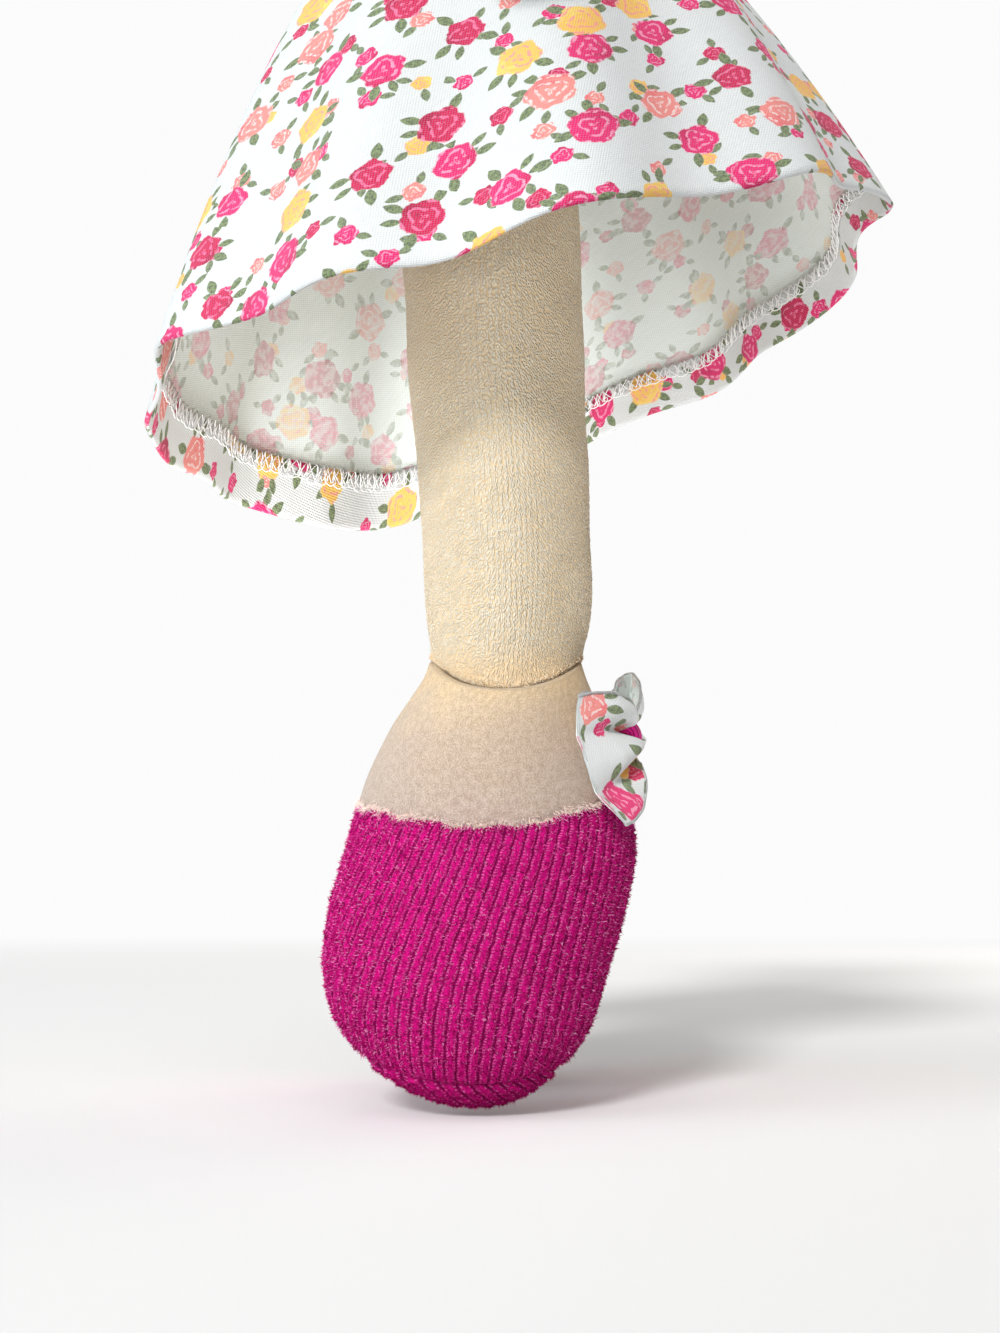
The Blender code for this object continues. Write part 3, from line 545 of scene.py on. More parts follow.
def corduroy():
    """Wide ribs of magenta pile with painted shade in the grooves and light loops along their edges."""
    finish = Finish("magenta_corduroy_cloth", 0.9, shine=0.1)
    place = finish.cloth(1.0)
    count, run, _ = finish.parts(place)
    flat = finish.joined(count * RIB_PITCH, run)
    wobble = finish.noise(flat, 2.2) - 0.5
    share = (count + wobble * 0.34).fraction()
    luck = finish.noise(finish.joined(count.whole() * 7.3, run * 0.02), 1.0)
    ridge = share.rise(0.0, 0.26) * (1 - share.rise(0.76, 1.0))
    fuzz = finish.noise(flat, 0.26, detail=2.0, rough=0.8)
    tuft = finish.noise(finish.joined(count * RIB_PITCH * 1.5, run), 0.7)
    beat = (run * (TURN / LOOP_PITCH) + wobble * 7.0 + luck * 40.0).sin() * 0.5 + 0.5
    near_row = 1 - ((share - 0.80).size() / 0.15).least(1.0)
    far_row = 1 - ((share - 0.20).size() / 0.13).least(1.0)
    loops = (near_row * 1.15 + far_row * 0.85) * beat.rise(0.15, 0.85) * fuzz.rise(0.26, 0.50)
    body = finish.mix((fuzz * 0.85 + tuft * 0.5).rise(0.40, 0.92), (0.29, 0.0, 0.088), (0.74, 0.006, 0.245))
    # Painted shade: the grooves between the ribs are dark.
    cloth = finish.mix(ridge.rise(0.0, 0.7), (0.19, 0.0, 0.065), body)
    # Painted shade: the cloth darkens low on the toe, near the floor.
    cloth = finish.mix((1 - run.rise(-2.0, 15.0)) * 0.62, cloth, (0.13, 0.0, 0.04))
    # Light loops on the rib edges: partly the loops themselves, partly a painted highlight on those edges.
    colour = finish.mix(loops.rise(0.08, 0.65) * 0.7, cloth, (0.84, 0.16, 0.46))
    height = ridge * 0.45 + loops * 0.45 + fuzz * 0.55 + tuft * 0.25
    return finish.wear(colour, height, depth=0.45)


def pile(name, stops, shade=(0.5, 0.4, 0.45)):
    """Tiny cut or looped fibres with painted shade at the root; the map's first number picks their colour."""
    finish = Finish(name, 0.9, shine=0.1)
    luck, climb, _ = finish.parts(finish.uv())
    tip = finish.ramp(luck, stops, "CONSTANT")
    root = finish.mix(1.0, tip, shade, "MULTIPLY")
    return finish.wear(finish.mix(climb.rise(0.0, 0.8), root, tip))


MAGENTA_PILE = pile("magenta_pile_fibres", (
    (0.0, (0.31, 0.0, 0.10)), (0.26, (0.54, 0.002, 0.18)), (0.56, (0.66, 0.012, 0.25)),
    (0.72, (0.80, 0.10, 0.42)), (0.92, (0.90, 0.34, 0.62)),
))
CREAM_PILE = pile("cream_pile_fibres", (
    (0.0, (0.84, 0.66, 0.56)), (0.35, (0.93, 0.80, 0.72)), (0.70, (0.97, 0.92, 0.88)),
), (0.92, 0.86, 0.84))
GOLDEN_PILE = pile("golden_pile_fibres", (
    (0.0, (0.80, 0.60, 0.37)), (0.4, (0.84, 0.71, 0.52)), (0.75, (0.88, 0.80, 0.66)),
), (0.95, 0.88, 0.78))
CORDUROY = corduroy()
print("finish:", CORDUROY.name)

# %% [markdown]
# ## A ditsy rose print
#
# The dress is plain-weave cotton with small roses scattered over white: hot pink, coral and yellow
# ones a little under a centimetre wide, smaller buds, and olive leaves. Scattered cells give each
# rose its place and its luck: a turn, a colour and a size. The wrong side of the cloth shows the
# same print, only paler and broken up by the weave, because ink seeps through unevenly.

# %% The print
WEAVE = 0.75
WHITE_CLOTH = (0.74, 0.76, 0.75)
LEAF_GREEN = (0.085, 0.115, 0.030)
ROSE_BODY = ((0.0, (0.78, 0.010, 0.150)), (0.36, (0.88, 0.27, 0.23)), (0.60, (0.60, 0.006, 0.075)),
             (0.80, (0.93, 0.55, 0.10)))
ROSE_LIGHT = ((0.0, (0.93, 0.36, 0.52)), (0.36, (0.93, 0.74, 0.70)), (0.60, (0.88, 0.20, 0.36)),
              (0.80, (0.94, 0.30, 0.30)))
ROSE_DARK = ((0.0, (0.52, 0.0, 0.07)), (0.36, (0.83, 0.14, 0.15)), (0.60, (0.36, 0.0, 0.035)),
             (0.80, (0.93, 0.70, 0.16)))


def scatter(finish, place, spacing, shift):
    """The place seen from the nearest scattered centre, and the luck of that centre."""
    moved = finish.vector("ADD", place, (shift, shift * 0.7, 0.0))
    _, colour, middle = finish.cells(moved, 1 / spacing, 0.62)
    luck = finish.parts(colour)
    values = {"Vector": finish.vector("SUBTRACT", moved, middle), "Angle": luck[0] * TURN}
    return finish.node("ShaderNodeVectorRotate", {"rotation_type": "Z_AXIS"}, values), luck


def leaf(x, y, spot, heading, length, width):
    """How much of a place is covered by one pointed leaf."""
    cosine, sine = math.cos(heading), math.sin(heading)
    along = (x - spot[0]) * cosine + (y - spot[1]) * sine
    across = (y - spot[1]) * cosine - (x - spot[0]) * sine
    taper = 1 - (along / length) * (along / length)
    return (taper * width * 0.62 - across.size()).rise(-0.05, 0.22)


def rose(finish, place, spacing, shift, radius, leaves):
    """Masks and colours of one scatter of roses with their leaves."""
    turned, luck = scatter(finish, place, spacing, shift)
    x, y, _ = finish.parts(turned)
    ripple = finish.noise(place, 1.3, detail=1.0) - 0.5
    reach = finish.vector("LENGTH", turned) + ripple * 0.9
    bearing = finish.node("ShaderNodeMath", {"operation": "ARCTAN2"}, {0: y, 1: x})
    edge = (bearing * 5.0).sin() * 0.07 + 1.0 + (luck[2] - 0.5) * 0.3
    inside = 1 - (reach / (edge * radius)).rise(0.93, 1.04)
    petal = (reach * (TURN / (radius * 0.46)) + (bearing * 3.0 + luck[1] * 9.0).sin() * 1.7).sin()
    light = petal.rise(0.25, 0.75) * (ripple + 0.5).rise(0.36, 0.55)
    dark = (y / radius + petal * 0.35).rise(0.15, 0.7)
    body = finish.ramp(luck[1], ROSE_BODY, "CONSTANT")
    shaded = finish.mix(dark * 0.75, body, finish.ramp(luck[1], ROSE_DARK, "CONSTANT"))
    colour = finish.mix(light * 0.85, shaded, finish.ramp(luck[1], ROSE_LIGHT, "CONSTANT"))
    green = None
    for blade in leaves:
        found = leaf(x, y, *blade)
        green = found if green is None else green.most(found)
    return inside, colour, green


# Each leaf: its middle, its heading, its length and its width.
BIG_LEAVES = (
    ((5.9, 1.4), 0.3, 2.5, 2.0), ((-5.4, -2.6), 0.5, 2.4, 2.0),
    ((-1.8, 5.9), 1.9, 2.4, 1.9), ((-4.6, 3.7), 2.4, 2.1, 1.6),
)
BUD_LEAVES = (((3.4, -1.3), -0.4, 2.0, 1.6), ((-3.1, -1.9), 0.6, 1.8, 1.5))


def rose_print(name, ink, white):
    """Printed cotton; ink is how much of the print shows."""
    finish = Finish(name, 0.82, sheen=0.08)
    place = finish.cloth()
    across, down, _ = finish.parts(place)
    weave = (across * (TURN / WEAVE)).sin() * (down * (TURN / WEAVE)).sin() * 0.5 + 0.5
    buds, bud_colour, bud_green = rose(finish, place, 12.4, 37.0, 2.2, BUD_LEAVES)
    roses, rose_colour, green = rose(finish, place, 16.8, 0.0, 4.5, BIG_LEAVES)
    slub = finish.noise(finish.vector("MULTIPLY", place, (0.15, 1.6, 1.0)), 0.8)
    vein = finish.noise(place, 0.7)
    leaf_colour = finish.mix(vein.rise(0.35, 0.65), LEAF_GREEN, (0.20, 0.27, 0.085))
    seep = 1 - (1 - weave.rise(0.1, 0.6)) * (1 - ink) * 0.8
    ink_here = seep * ink * (finish.noise(place, 2.2).rise(0.36, 0.60) * (1 - ink) + ink)
    plain = finish.mix(slub.rise(0.35, 0.7) * 0.5, white, tuple(tone * 0.93 for tone in white))
    clear = 1 - roses.most(green)
    colour = finish.mix(bud_green * clear * ink_here * 0.92, plain, leaf_colour)
    colour = finish.mix(buds * clear * ink_here, colour, bud_colour)
    colour = finish.mix(green * ink_here * 0.95, colour, leaf_colour)
    colour = finish.mix(roses * ink_here, colour, rose_colour)
    # Painted shade: a bluish grey in the gaps between the threads of the weave.
    colour = finish.mix((1 - weave).rise(0.3, 0.9) * 0.27, colour, (0.36, 0.38, 0.48))
    return finish.wear(colour, weave * 0.8 + slub * 0.5, depth=0.16)


RIGHT_SIDE = rose_print("rose_print_right_side", 1.0, WHITE_CLOTH)
WRONG_SIDE = rose_print("rose_print_wrong_side", 0.50, (0.84, 0.90, 0.86))
print("finishes:", RIGHT_SIDE.name, WRONG_SIDE.name)


# %% Ribbed binding, wool and embroidery threads
def ribbed(name, light, dark, pitch, twist=0.0, rough=0.75):
    """Thread or ribbed cotton: ridges across the cloth at a pitch in millimetres."""
    finish = Finish(name, rough, sheen=0.1)
    place = finish.cloth()
    across, down, _ = finish.parts(place)
    ridge = ((across + down * twist) * (TURN / pitch)).sin() * 0.5 + 0.5
    fluff = finish.noise(place, 0.35, detail=2.0, rough=0.7)
    # Painted shade and light: the colour is darker in the grooves between the ridges and lighter on them.
    colour = finish.mix((ridge * 0.6 + fluff * 0.6).rise(0.2, 0.95), dark, light)
    return finish.wear(colour, ridge * 0.7 + fluff * 0.4, depth=0.2)


def yarn(name, light, dark, ply):
    """Twisted yarn on a swept thread, whose UV counts the tube's sides and runs along it in metres."""
    finish = Finish(name, 0.9, sheen=0.3)
    side, run, _ = finish.parts(finish.uv())
    twist = (side * (TURN / 3.0) + run * (1000 * TURN / ply)).sin() * 0.5 + 0.5
    values = {"Vector": finish.spot(), "Scale": 2600.0, "Detail": 2.0, "Roughness": 0.7}
    fluff = finish.node("ShaderNodeTexNoise", {}, values, "Fac")
    # Painted shade and light: darker between the plies of the twist, lighter on their crowns.
    colour = finish.mix((twist * 0.55 + fluff * 0.7).rise(0.25, 1.0), dark, light)
    return finish.wear(colour, twist * 0.8 + fluff * 0.5, depth=ply * 0.09)


BINDING = ribbed("magenta_rib_cotton", (0.80, 0.02, 0.30), (0.36, 0.0, 0.10), 0.85)
WOOL = yarn("brown_wool_yarn", (0.33, 0.165, 0.075), (0.10, 0.042, 0.018), 3.4)
OVERLOCK = yarn("white_overlock_thread", (0.97, 0.97, 0.96), (0.88, 0.87, 0.86), 0.7)
EYE_THREAD = ribbed("dark_eye_floss", (0.075, 0.045, 0.035), (0.012, 0.007, 0.006), 0.42, rough=0.45)
NOSE_THREAD = ribbed("rose_nose_floss", (0.80, 0.34, 0.28), (0.50, 0.14, 0.11), 0.42, rough=0.55)
MOUTH_THREAD = yarn("red_mouth_floss", (0.66, 0.07, 0.08), (0.34, 0.015, 0.02), 1.6)
print("finishes:", BINDING.name, WOOL.name, OVERLOCK.name)

# %% [markdown]
# ## The trunk and the neck
#
# The trunk is a stuffed bag, nearly hidden under the dress. Its outline follows the solid: a few
# given rows of height, half width and half depth, with one smooth curve through them.

# %% Torso and neck
TORSO_LOW, TORSO_TOP = -32.9, 55.0
TORSO_WIDTH, TORSO_DEPTH = 41.0, 27.0
TORSO_SHARES = (
    (0.00, 0.90, 0.84), (0.10, 0.98, 0.95), (0.25, 1.00, 1.00), (0.42, 0.94, 0.95),
    (0.60, 0.96, 0.98), (0.76, 1.00, 1.00), (0.87, 1.00, 0.95), (0.95, 0.80, 0.82), (1.00, 0.50, 0.62),
)


def torso_rows(grow, count=90):
    """Height, half width and half depth of the trunk, or of cloth that far outside it."""
    middle, reach = (TORSO_LOW + TORSO_TOP) / 2, (TORSO_TOP - TORSO_LOW) / 2 + grow
    rows = [
        (middle + (2 * rise - 1) * reach, TORSO_WIDTH * width + grow, TORSO_DEPTH * depth + grow)
        for rise, width, depth in TORSO_SHARES
    ]
    return smooth_rows(rows, count)


def oval_place(rows):
    """A place function for a form of level oval sections, from rows in millimetres."""

    def place(around, along):
        height, width, depth = read(rows, along)
        turn = TURN * around
        return np.stack([width * np.cos(turn), depth * np.sin(turn), height], axis=1) * MM

    return place


def oval_cloth(radius, length):
    """Cloth in metres round a form of that radius and length in millimetres."""
    return lambda around, along: (around * TURN * radius * MM, along * length * MM)


body = torso_rows(-0.4)
body = np.vstack([[(body[0][0], 0, 0)], body, [(body[-1][0] + 1.2, 0, 0)]])
torso = roll("torso_skin", 120, 100, oval_place(body), oval_cloth(36, 90))
seat(torso, TERRY, "torso", "torso")
NECK_ROWS = (
    (55.3, 0, 0), (55.4, 12.6, 12.6), (58.0, 13.9, 13.9), (70, 13.6, 13.6),
    (80, 13.9, 13.9), (87, 12.1, 12.1), (91.5, 8.0, 8.0), (93.8, 0, 0),
)
neck = roll("neck_skin", 80, 60, oval_place(smooth_rows(NECK_ROWS, 60)), oval_cloth(14, 40))
seat(neck, TERRY, "neck", "neck")

# %% [markdown]
# ## The head
#
# A rag doll's head is a ball of stuffed velour, a little fuller at the cheeks. Under the chin it
# turns in to a hollow, where the neck sits, so the head can nod without a gap opening.

# %% Head
HEAD_CENTRE = 125.0
HEAD_WIDTH, HEAD_DEPTH, HEAD_HEIGHT = 58.0, 54.0, 58.0
CHIN_TILT = -math.radians(71)
HOLLOW_ROWS = (
    (70.6, 17.0, 16.6), (74.0, 15.6, 15.6), (80, 14.7, 14.7),
    (88, 12.6, 12.6), (93.0, 8.0, 8.0), (94.9, 0, 0),
)


def cheeks(rise):
    """How much the cheeks widen the head at a share of its half height."""
    return 1 + 0.05 * hill(rise, -0.35, 0.3)


def face_front(x, height):
    """How far forward the face lies, in millimetres, at a place measured from the head's centre."""
    rise = height / HEAD_HEIGHT
    share = 1 - rise**2 - (x / (HEAD_WIDTH * cheeks(rise))) ** 2
    return HEAD_DEPTH * cheeks(rise) * np.sqrt(np.maximum(share, 0))


tilt = np.linspace(math.pi / 2, CHIN_TILT, 120)
rise = np.sin(tilt)
width, depth = HEAD_WIDTH * cheeks(rise) * np.cos(tilt), HEAD_DEPTH * cheeks(rise) * np.cos(tilt)
ball_rows = np.stack([HEAD_CENTRE + HEAD_HEIGHT * rise, width, depth], axis=1)
hollow = smooth_rows([tuple(ball_rows[-1]), *HOLLOW_ROWS], 30)
head = roll("head_skin", 160, 150, oval_place(np.vstack([ball_rows, hollow[1:]])), oval_cloth(52, 200))
seat(head, FACE_VELOUR, "head", "head")

# %% [markdown]
# ## The stitched face
#
# The face is embroidery: satin stitch fills two oval eyes and a small nose, and one thick thread
# makes the mouth. Satin stitch stands up in a low dome, so each patch is a disc that is raised in
# the middle and follows the curve of the face.

# %% Eyes, nose and mouth
EYE_SPREAD, EYE_RISE = 19.5, 1.0
PATCH_FRONT, PATCH_BACK = 0.8, 0.2


def satin_patch(name, x, height, half_width, half_height):
    """A raised oval of satin stitch on the face, with a flat back."""

    def oval(around, along):
        """The share of the way out of the patch's middle, and how far that is across and up."""
        reach = np.where(along < PATCH_FRONT, along / PATCH_FRONT, (1 - along) / PATCH_BACK)
        turn = TURN * around
        return reach, half_width * reach * np.cos(turn), half_height * reach * np.sin(turn)

    def place(around, along):
        front = along < PATCH_FRONT
        reach, across, up = oval(around, along)
        across, up = x + across, height + up
        dome = np.where(front, 0.25 + 0.85 * np.sqrt(np.maximum(1 - reach**2, 0)) ** 0.6, 0.05)
        ridge = np.where(front, 0.06 * np.sin(up * TURN / 0.55) * (1 - reach**6), 0)
        y = -face_front(across, up) - dome - ridge
        return np.stack([across, y, HEAD_CENTRE + up], axis=1) * MM

    def stitches(around, along):
        _, across, up = oval(around, along)
        return up * MM, across * MM

    return roll(name, 72, 34, place, stitches)


for side_name, side in SIDES:
    eye = satin_patch(f"eye_stitch_{side_name}", side * EYE_SPREAD, EYE_RISE, 4.2, 5.6)
    seat(eye, EYE_THREAD, f"eye_{side_name}", "head")
nose = satin_patch("nose_stitch", 0, -12.5, 3.4, 2.6)
seat(nose, NOSE_THREAD, "nose", "head")
share = np.linspace(-1, 1, 41)
across, drop = 15.0 * share, -17.0 - 6.5 * (1 - share**2)
smile = np.stack([across, -face_front(across, drop) - 1.0, HEAD_CENTRE + drop], axis=1) * MM
mouth = threads("mouth_stitch", [smile], 0.9 * MM, sides=12, lift=(0, -1, 0))
seat(mouth, MOUTH_THREAD, "mouth", "head")

# %% [markdown]
# ## Wool hair
#
# The hair is wool yarn sewn down along a centre parting and drawn to a bunch at each side. On the
# cap the strands lie so close that they read as ridges, so the cap is one cloth-like shell raised
# into ridges that run from the parting to the bunches. The bunches show every strand, so they are
# swept one yarn at a time.

# %% Hair cap
HAIR_DEPTH = 6.5
WINDOW_WIDTH, WINDOW_HEIGHT, WINDOW_DROP = 44.5, 50.0, 8.0
NAPE = -HEAD_HEIGHT / 2
BUNCH_ROOT = np.array([1.0, 0.10, 0.07]) / np.linalg.norm([1.0, 0.10, 0.07])
STRANDS = 84
CAP_FRONT, CAP_BACK = 0.9, 0.1


def head_point(way, grow):
    """The point of the head, or of hair that far outside it, in a direction from its centre."""
    rise = way[:, 2]
    wide = (HEAD_WIDTH * cheeks(rise) + grow) * way[:, 0]
    deep = (HEAD_DEPTH * cheeks(rise) + grow) * way[:, 1]
    return np.stack([wide, deep, HEAD_CENTRE + (HEAD_HEIGHT + grow) * rise], axis=1)


def cap_way(bearing, dip):
    """A direction that dips away from the back of the head, on a bearing."""
    return np.stack([np.sin(dip) * np.cos(bearing), np.cos(dip), np.sin(dip) * np.sin(bearing)], axis=1)


def cap_rim(bearing):
    """How far the cap reaches from the back of the head before the face or the nape."""
    dips = np.linspace(0.2, math.pi * 0.95, 500)
    found = np.full(bearing.shape, dips[-1])
    for dip in dips[::-1]:
        x, y, z = head_point(cap_way(bearing, np.full(bearing.shape, dip)), HAIR_DEPTH).T
        z = z - HEAD_CENTRE
        window = (y < -2) & ((x / WINDOW_WIDTH) ** 2 + ((z + WINDOW_DROP) / WINDOW_HEIGHT) ** 2 < 1)
        found = np.where(window | (z < NAPE), dip, found)
    return found


RIM_BEARINGS = np.linspace(0, TURN, 361)
RIM = cap_rim(RIM_BEARINGS)
RIM = np.convolve(np.concatenate([RIM[-7:-1], RIM, RIM[1:7]]), np.ones(5) / 5, "same")[6:-6]


def strand_ridge(way):
    """Height of the yarn ridges in a direction from the head's centre."""
    root = BUNCH_ROOT * np.where(way[:, :1] >= 0, 1, -1) ** np.array([1, 0, 0])
    near = np.sum(way * root, axis=1)
    up = np.cross(root, np.broadcast_to([0, 1.0, 0], root.shape))
    fore = np.cross(up, root)
    bearing = np.arctan2(np.sum(way * up, axis=1), np.sum(way * fore, axis=1))
    ridge = np.sqrt(np.abs(np.cos(bearing * STRANDS / 2 + 1.5 * np.sin(near * 5))))
    parting = hill(way[:, 0] * HEAD_WIDTH, 0, 2.2)
    return (0.95 * ridge - 0.95) * ease(1 - near, 0.0, 0.12) - 1.6 * parting


def cap_place(around, along):
    """The yarn from the back of the head to the rim, and a smooth lining back again."""
    bearing = TURN * around
    outer = along < CAP_FRONT
    share = np.where(outer, along / CAP_FRONT, (1 - along) / CAP_BACK)
    way = cap_way(bearing, share * np.interp(bearing % TURN, RIM_BEARINGS, RIM))
    yarn_height = HAIR_DEPTH + strand_ridge(way) * ease(share, 1.02, 0.9) - 1.4 * ease(share, 0.965, 1.0)
    grow = np.where(outer, yarn_height, 0.4)
    return head_point(way, 0.0) * MM + way * grow[:, None] * MM


hair = roll("hair_cap", 380, 130, cap_place, flat_cloth(0.36, 0.16))
seat(hair, WOOL, "hair", "head")


# %% Fringe
def fringe_strand(share, layer):
    """One yarn from the hairline down to the brow, where it is cut."""
    x = 43.2 * math.sin(share * math.pi / 2)
    root = -WINDOW_DROP + 49.0 * math.sqrt(max(1 - (x / 44.2) ** 2, 0))
    brow = -34 + 60 * math.sqrt(max(1 - (x / 44.5) ** 2, 0)) + luck.uniform(-0.8, 1.2) + layer * 1.6
    run = np.linspace(0, 1, 14)
    height = root + (brow - root) * run
    across = x * (1 + 0.035 * run) + 0.3 * np.sin(run * 6 + share * 20)
    out = 1.6 + 1.9 * layer + 0.7 * np.sin(run * math.pi) - 0.35 * ease(run, 0.85, 1.0)
    return np.stack([across, -face_front(across, height) - out, HEAD_CENTRE + height], axis=1) * MM


luck = np.random.default_rng(7)
strands = [fringe_strand(share, layer) for layer in (0, 1) for share in np.linspace(-0.97, 0.97, 40 - layer)]
size = np.full(14, 1.5)
size[-1] = 1.0
fringe = threads("fringe_yarn", strands, size * MM, sides=8, lift=(0, -1, 0))
seat(fringe, WOOL, "fringe", "head")

# %% Bunches and their ties
BUNCH_LENGTH, BUNCH_RADIUS = 58.0, 16.5
BUNCH_BACK, BUNCH_LEVEL = 6.0, HEAD_CENTRE + 4.0
BUNCH_YARNS = 54
GOLDEN_ANGLE = 2.39996
TEMPLE, TIE_OUT, TIE_RADIUS = 58.9, 9.2, 10.0


def bunch_path(lay, side):
    """One yarn of a bunch: out of the tie, over and down, with its own place in the bunch."""
    run = np.linspace(0, 1, 22)
    spread = np.interp(run, [0, 0.10, 0.30, 0.62, 0.88, 1.0], [0.36, 0.36, 0.74, 1.0, 0.86, 0.72])
    heading = math.pi / 2 * np.clip(run * 1.9 + 0.12, 0, 1)
    out = BUNCH_RADIUS * (0.35 + 0.95 * (1 - np.cos(heading)))
    drop = BUNCH_LENGTH * np.maximum(run - 0.12, 0) ** 1.15 * lay[2]
    across = np.stack([np.sin(heading), 0 * run, np.cos(heading)], axis=1)
    middle = np.stack([out, 0 * run, -drop], axis=1)
    depth = np.stack([0 * run, np.ones(22), 0 * run], axis=1)
    points = middle + (across * lay[0] + depth * lay[1]) * (spread * (BUNCH_RADIUS - 2.0))[:, None]
    wave = np.stack([np.sin(run * 9 + lay[3]), np.cos(run * 8 + lay[3]), 0 * run], axis=1)
    points += wave * 0.5 * run[:, None]
    return points * (side, 1, 1)


for side_name, side in SIDES:
    lays = []
    for step in range(BUNCH_YARNS):
        reach, bearing = math.sqrt((step + 0.5) / BUNCH_YARNS), step * GOLDEN_ANGLE
        length, phase = 0.90 + 0.12 * luck.random(), TURN * luck.random()
        lays.append((reach * math.cos(bearing), reach * math.sin(bearing), length, phase))
    root = np.array([side * (TEMPLE + TIE_OUT - 4.5), BUNCH_BACK, BUNCH_LEVEL])
    paths = [(bunch_path(lay, side) + root) * MM for lay in lays]
    size = np.full(22, 1.75)
    size[-1] = 1.1
    bunch = threads(f"bunch_yarn_{side_name}", paths, size * MM, sides=8, lift=(0, 1, 0))
    seat(bunch, WOOL, f"bunch_{side_name}", "head")
    tie_x = side * (TEMPLE + HAIR_DEPTH + 2.7)

    def tie_place(around, along, tie_x=tie_x):
        ring, bulge = TURN * around, TURN * along
        thick = 2.3 + 0.18 * np.cos(ring * 22)
        reach = TIE_RADIUS + thick * np.cos(bulge)
        x = tie_x + thick * np.sin(bulge)
        y, z = BUNCH_BACK + reach * np.cos(ring), BUNCH_LEVEL + reach * np.sin(ring)
        return np.stack([x, y, z], axis=1) * MM

    tie = roll(f"hair_tie_band_{side_name}", 176, 20, tie_place, flat_cloth(0.063, 0.014))
    seat(tie, BINDING, f"hair_tie_{side_name}", "head")

# %% [markdown]
# ## Arms and hands
#
# An arm is one stuffed tube of terry that widens to a mitten hand, with a thumb sewn in front. The
# thumb and the arm are rolled separately, and a voxel remesh melts them together, because that
# leaves the soft crease a sewn thumb has. Remeshing drops the UV map, so a new one is wrapped round
# the arm afterwards.

# %% Arms
SHOULDER = np.array([54.0, 0.0, 41.0])
ARM_TILT = math.radians(25)
ARM_LENGTH, ARM_WIDTH, ARM_DEPTH = 105.0, 13.5, 12.5
ARM_SHARES = (
    (-0.128, 0.0, 0.0), (-0.118, 0.36, 0.36), (-0.08, 0.72, 0.72), (0.00, 1.00, 1.00), (0.18, 1.00, 1.00),
    (0.38, 0.96, 0.97), (0.56, 0.88, 0.90), (0.68, 0.84, 0.82), (0.78, 1.00, 0.86), (0.88, 1.04, 0.84),
    (0.95, 0.84, 0.68), (0.985, 0.48, 0.42), (1.00, 0.0, 0.0),
)
THUMB_ROOT, THUMB_LENGTH, THUMB_RADIUS = 0.76, 13.5, 5.2
THUMB_SHARES = ((0.0, 0.0), (0.01, 0.7), (0.15, 1.0), (0.45, 1.0), (0.75, 0.86), (0.93, 0.52), (1.0, 0.0))


def along_line(rows, start, way, across, deep):
    """A place function for oval sections square to a slanting line, from rows in millimetres."""

    def place(around, along):
        run, width, depth = read(rows, along)
        turn = TURN * around
        points = start + run[:, None] * way
        points = points + (width * np.cos(turn))[:, None] * across + (depth * np.sin(turn))[:, None] * deep
        return points * MM

    return place


def wrap_cloth(piece, start, way, across, radius):
    """Wrap a UV map in metres round a slanting line, so that a remeshed piece has its cloth again."""
    mesh = piece.data
    deep = np.cross(way, across)
    spots = np.empty(len(mesh.vertices) * 3)
    mesh.vertices.foreach_get("co", spots)
    spots = spots.reshape(-1, 3) / MM - start
    bearing = np.arctan2(spots @ deep, spots @ across)
    corner = np.empty(len(mesh.loops), int)
    mesh.loops.foreach_get("vertex_index", corner)
    first = np.empty(len(mesh.polygons), int)
    mesh.polygons.foreach_get("loop_start", first)
    total = np.empty(len(mesh.polygons), int)
    mesh.polygons.foreach_get("loop_total", total)
    lead = np.repeat(bearing[corner[first]], total)
    turn = bearing[corner]
    turn = lead + (turn - lead + math.pi) % TURN - math.pi
    layer = mesh.uv_layers.new(name="cloth")
    uv = np.stack([turn * radius, spots[corner] @ way], axis=1) * MM
    layer.data.foreach_set("uv", uv.ravel())


def arm_line(side):
    """The shoulder, the way down the arm and the way out from the body."""
    down = np.array([side * math.sin(ARM_TILT), 0, -math.cos(ARM_TILT)])
    out = np.array([side * math.cos(ARM_TILT), 0, math.sin(ARM_TILT)])
    return SHOULDER * (side, 1, 1), down, out


DEEP = np.array([0.0, 1.0, 0.0])
for side_name, side in SIDES:
    shoulder, down, out = arm_line(side)
    rows = [(share * ARM_LENGTH, ARM_WIDTH * width, ARM_DEPTH * depth) for share, width, depth in ARM_SHARES]
    line = along_line(smooth_rows(rows, 110), shoulder, down, out, DEEP)
    arm = roll(f"arm_skin_{side_name}", 90, 110, line)
    root = shoulder + down * ARM_LENGTH * THUMB_ROOT - DEEP * 6.2
    way = down - DEEP * 0.75
    way = way / np.linalg.norm(way)
    span = np.cross(way, (1.0, 0, 0))
    rows = [(share * THUMB_LENGTH, THUMB_RADIUS * full, THUMB_RADIUS * full) for share, full in THUMB_SHARES]
    line = along_line(smooth_rows(rows, 40), root, way, np.array([1.0, 0, 0]), span)
    thumb = roll(f"thumb_{side_name}", 40, 40, line)
    pick(arm, thumb)
    bpy.ops.object.join()
    keep_change(arm, "REMESH", mode="VOXEL", voxel_size=0.9 * MM)
    keep_change(arm, "SMOOTH", factor=0.5, iterations=8)
    for old in list(arm.data.uv_layers):
        arm.data.uv_layers.remove(old)
    wrap_cloth(arm, shoulder, down, out, ARM_DEPTH)
    sew(arm)
    arm.data.materials.clear()
    seat(arm, TERRY, f"arm_{side_name}", f"arm_{side_name}")

# %% [markdown]
# ## The dress: bodice, sleeves and neck binding
#
# The bodice is stretched over the stuffed trunk, so it has only faint creases. A sleeve is a short
# tube of print, gathered where it is sewn to the bodice and again at the cuff. Solidify then gives
# each sheet its thickness, with the wrong side of the cloth inside.

# %% Bodice and binding
NECKLINE = 48.5
WAIST_OUT = 0.9


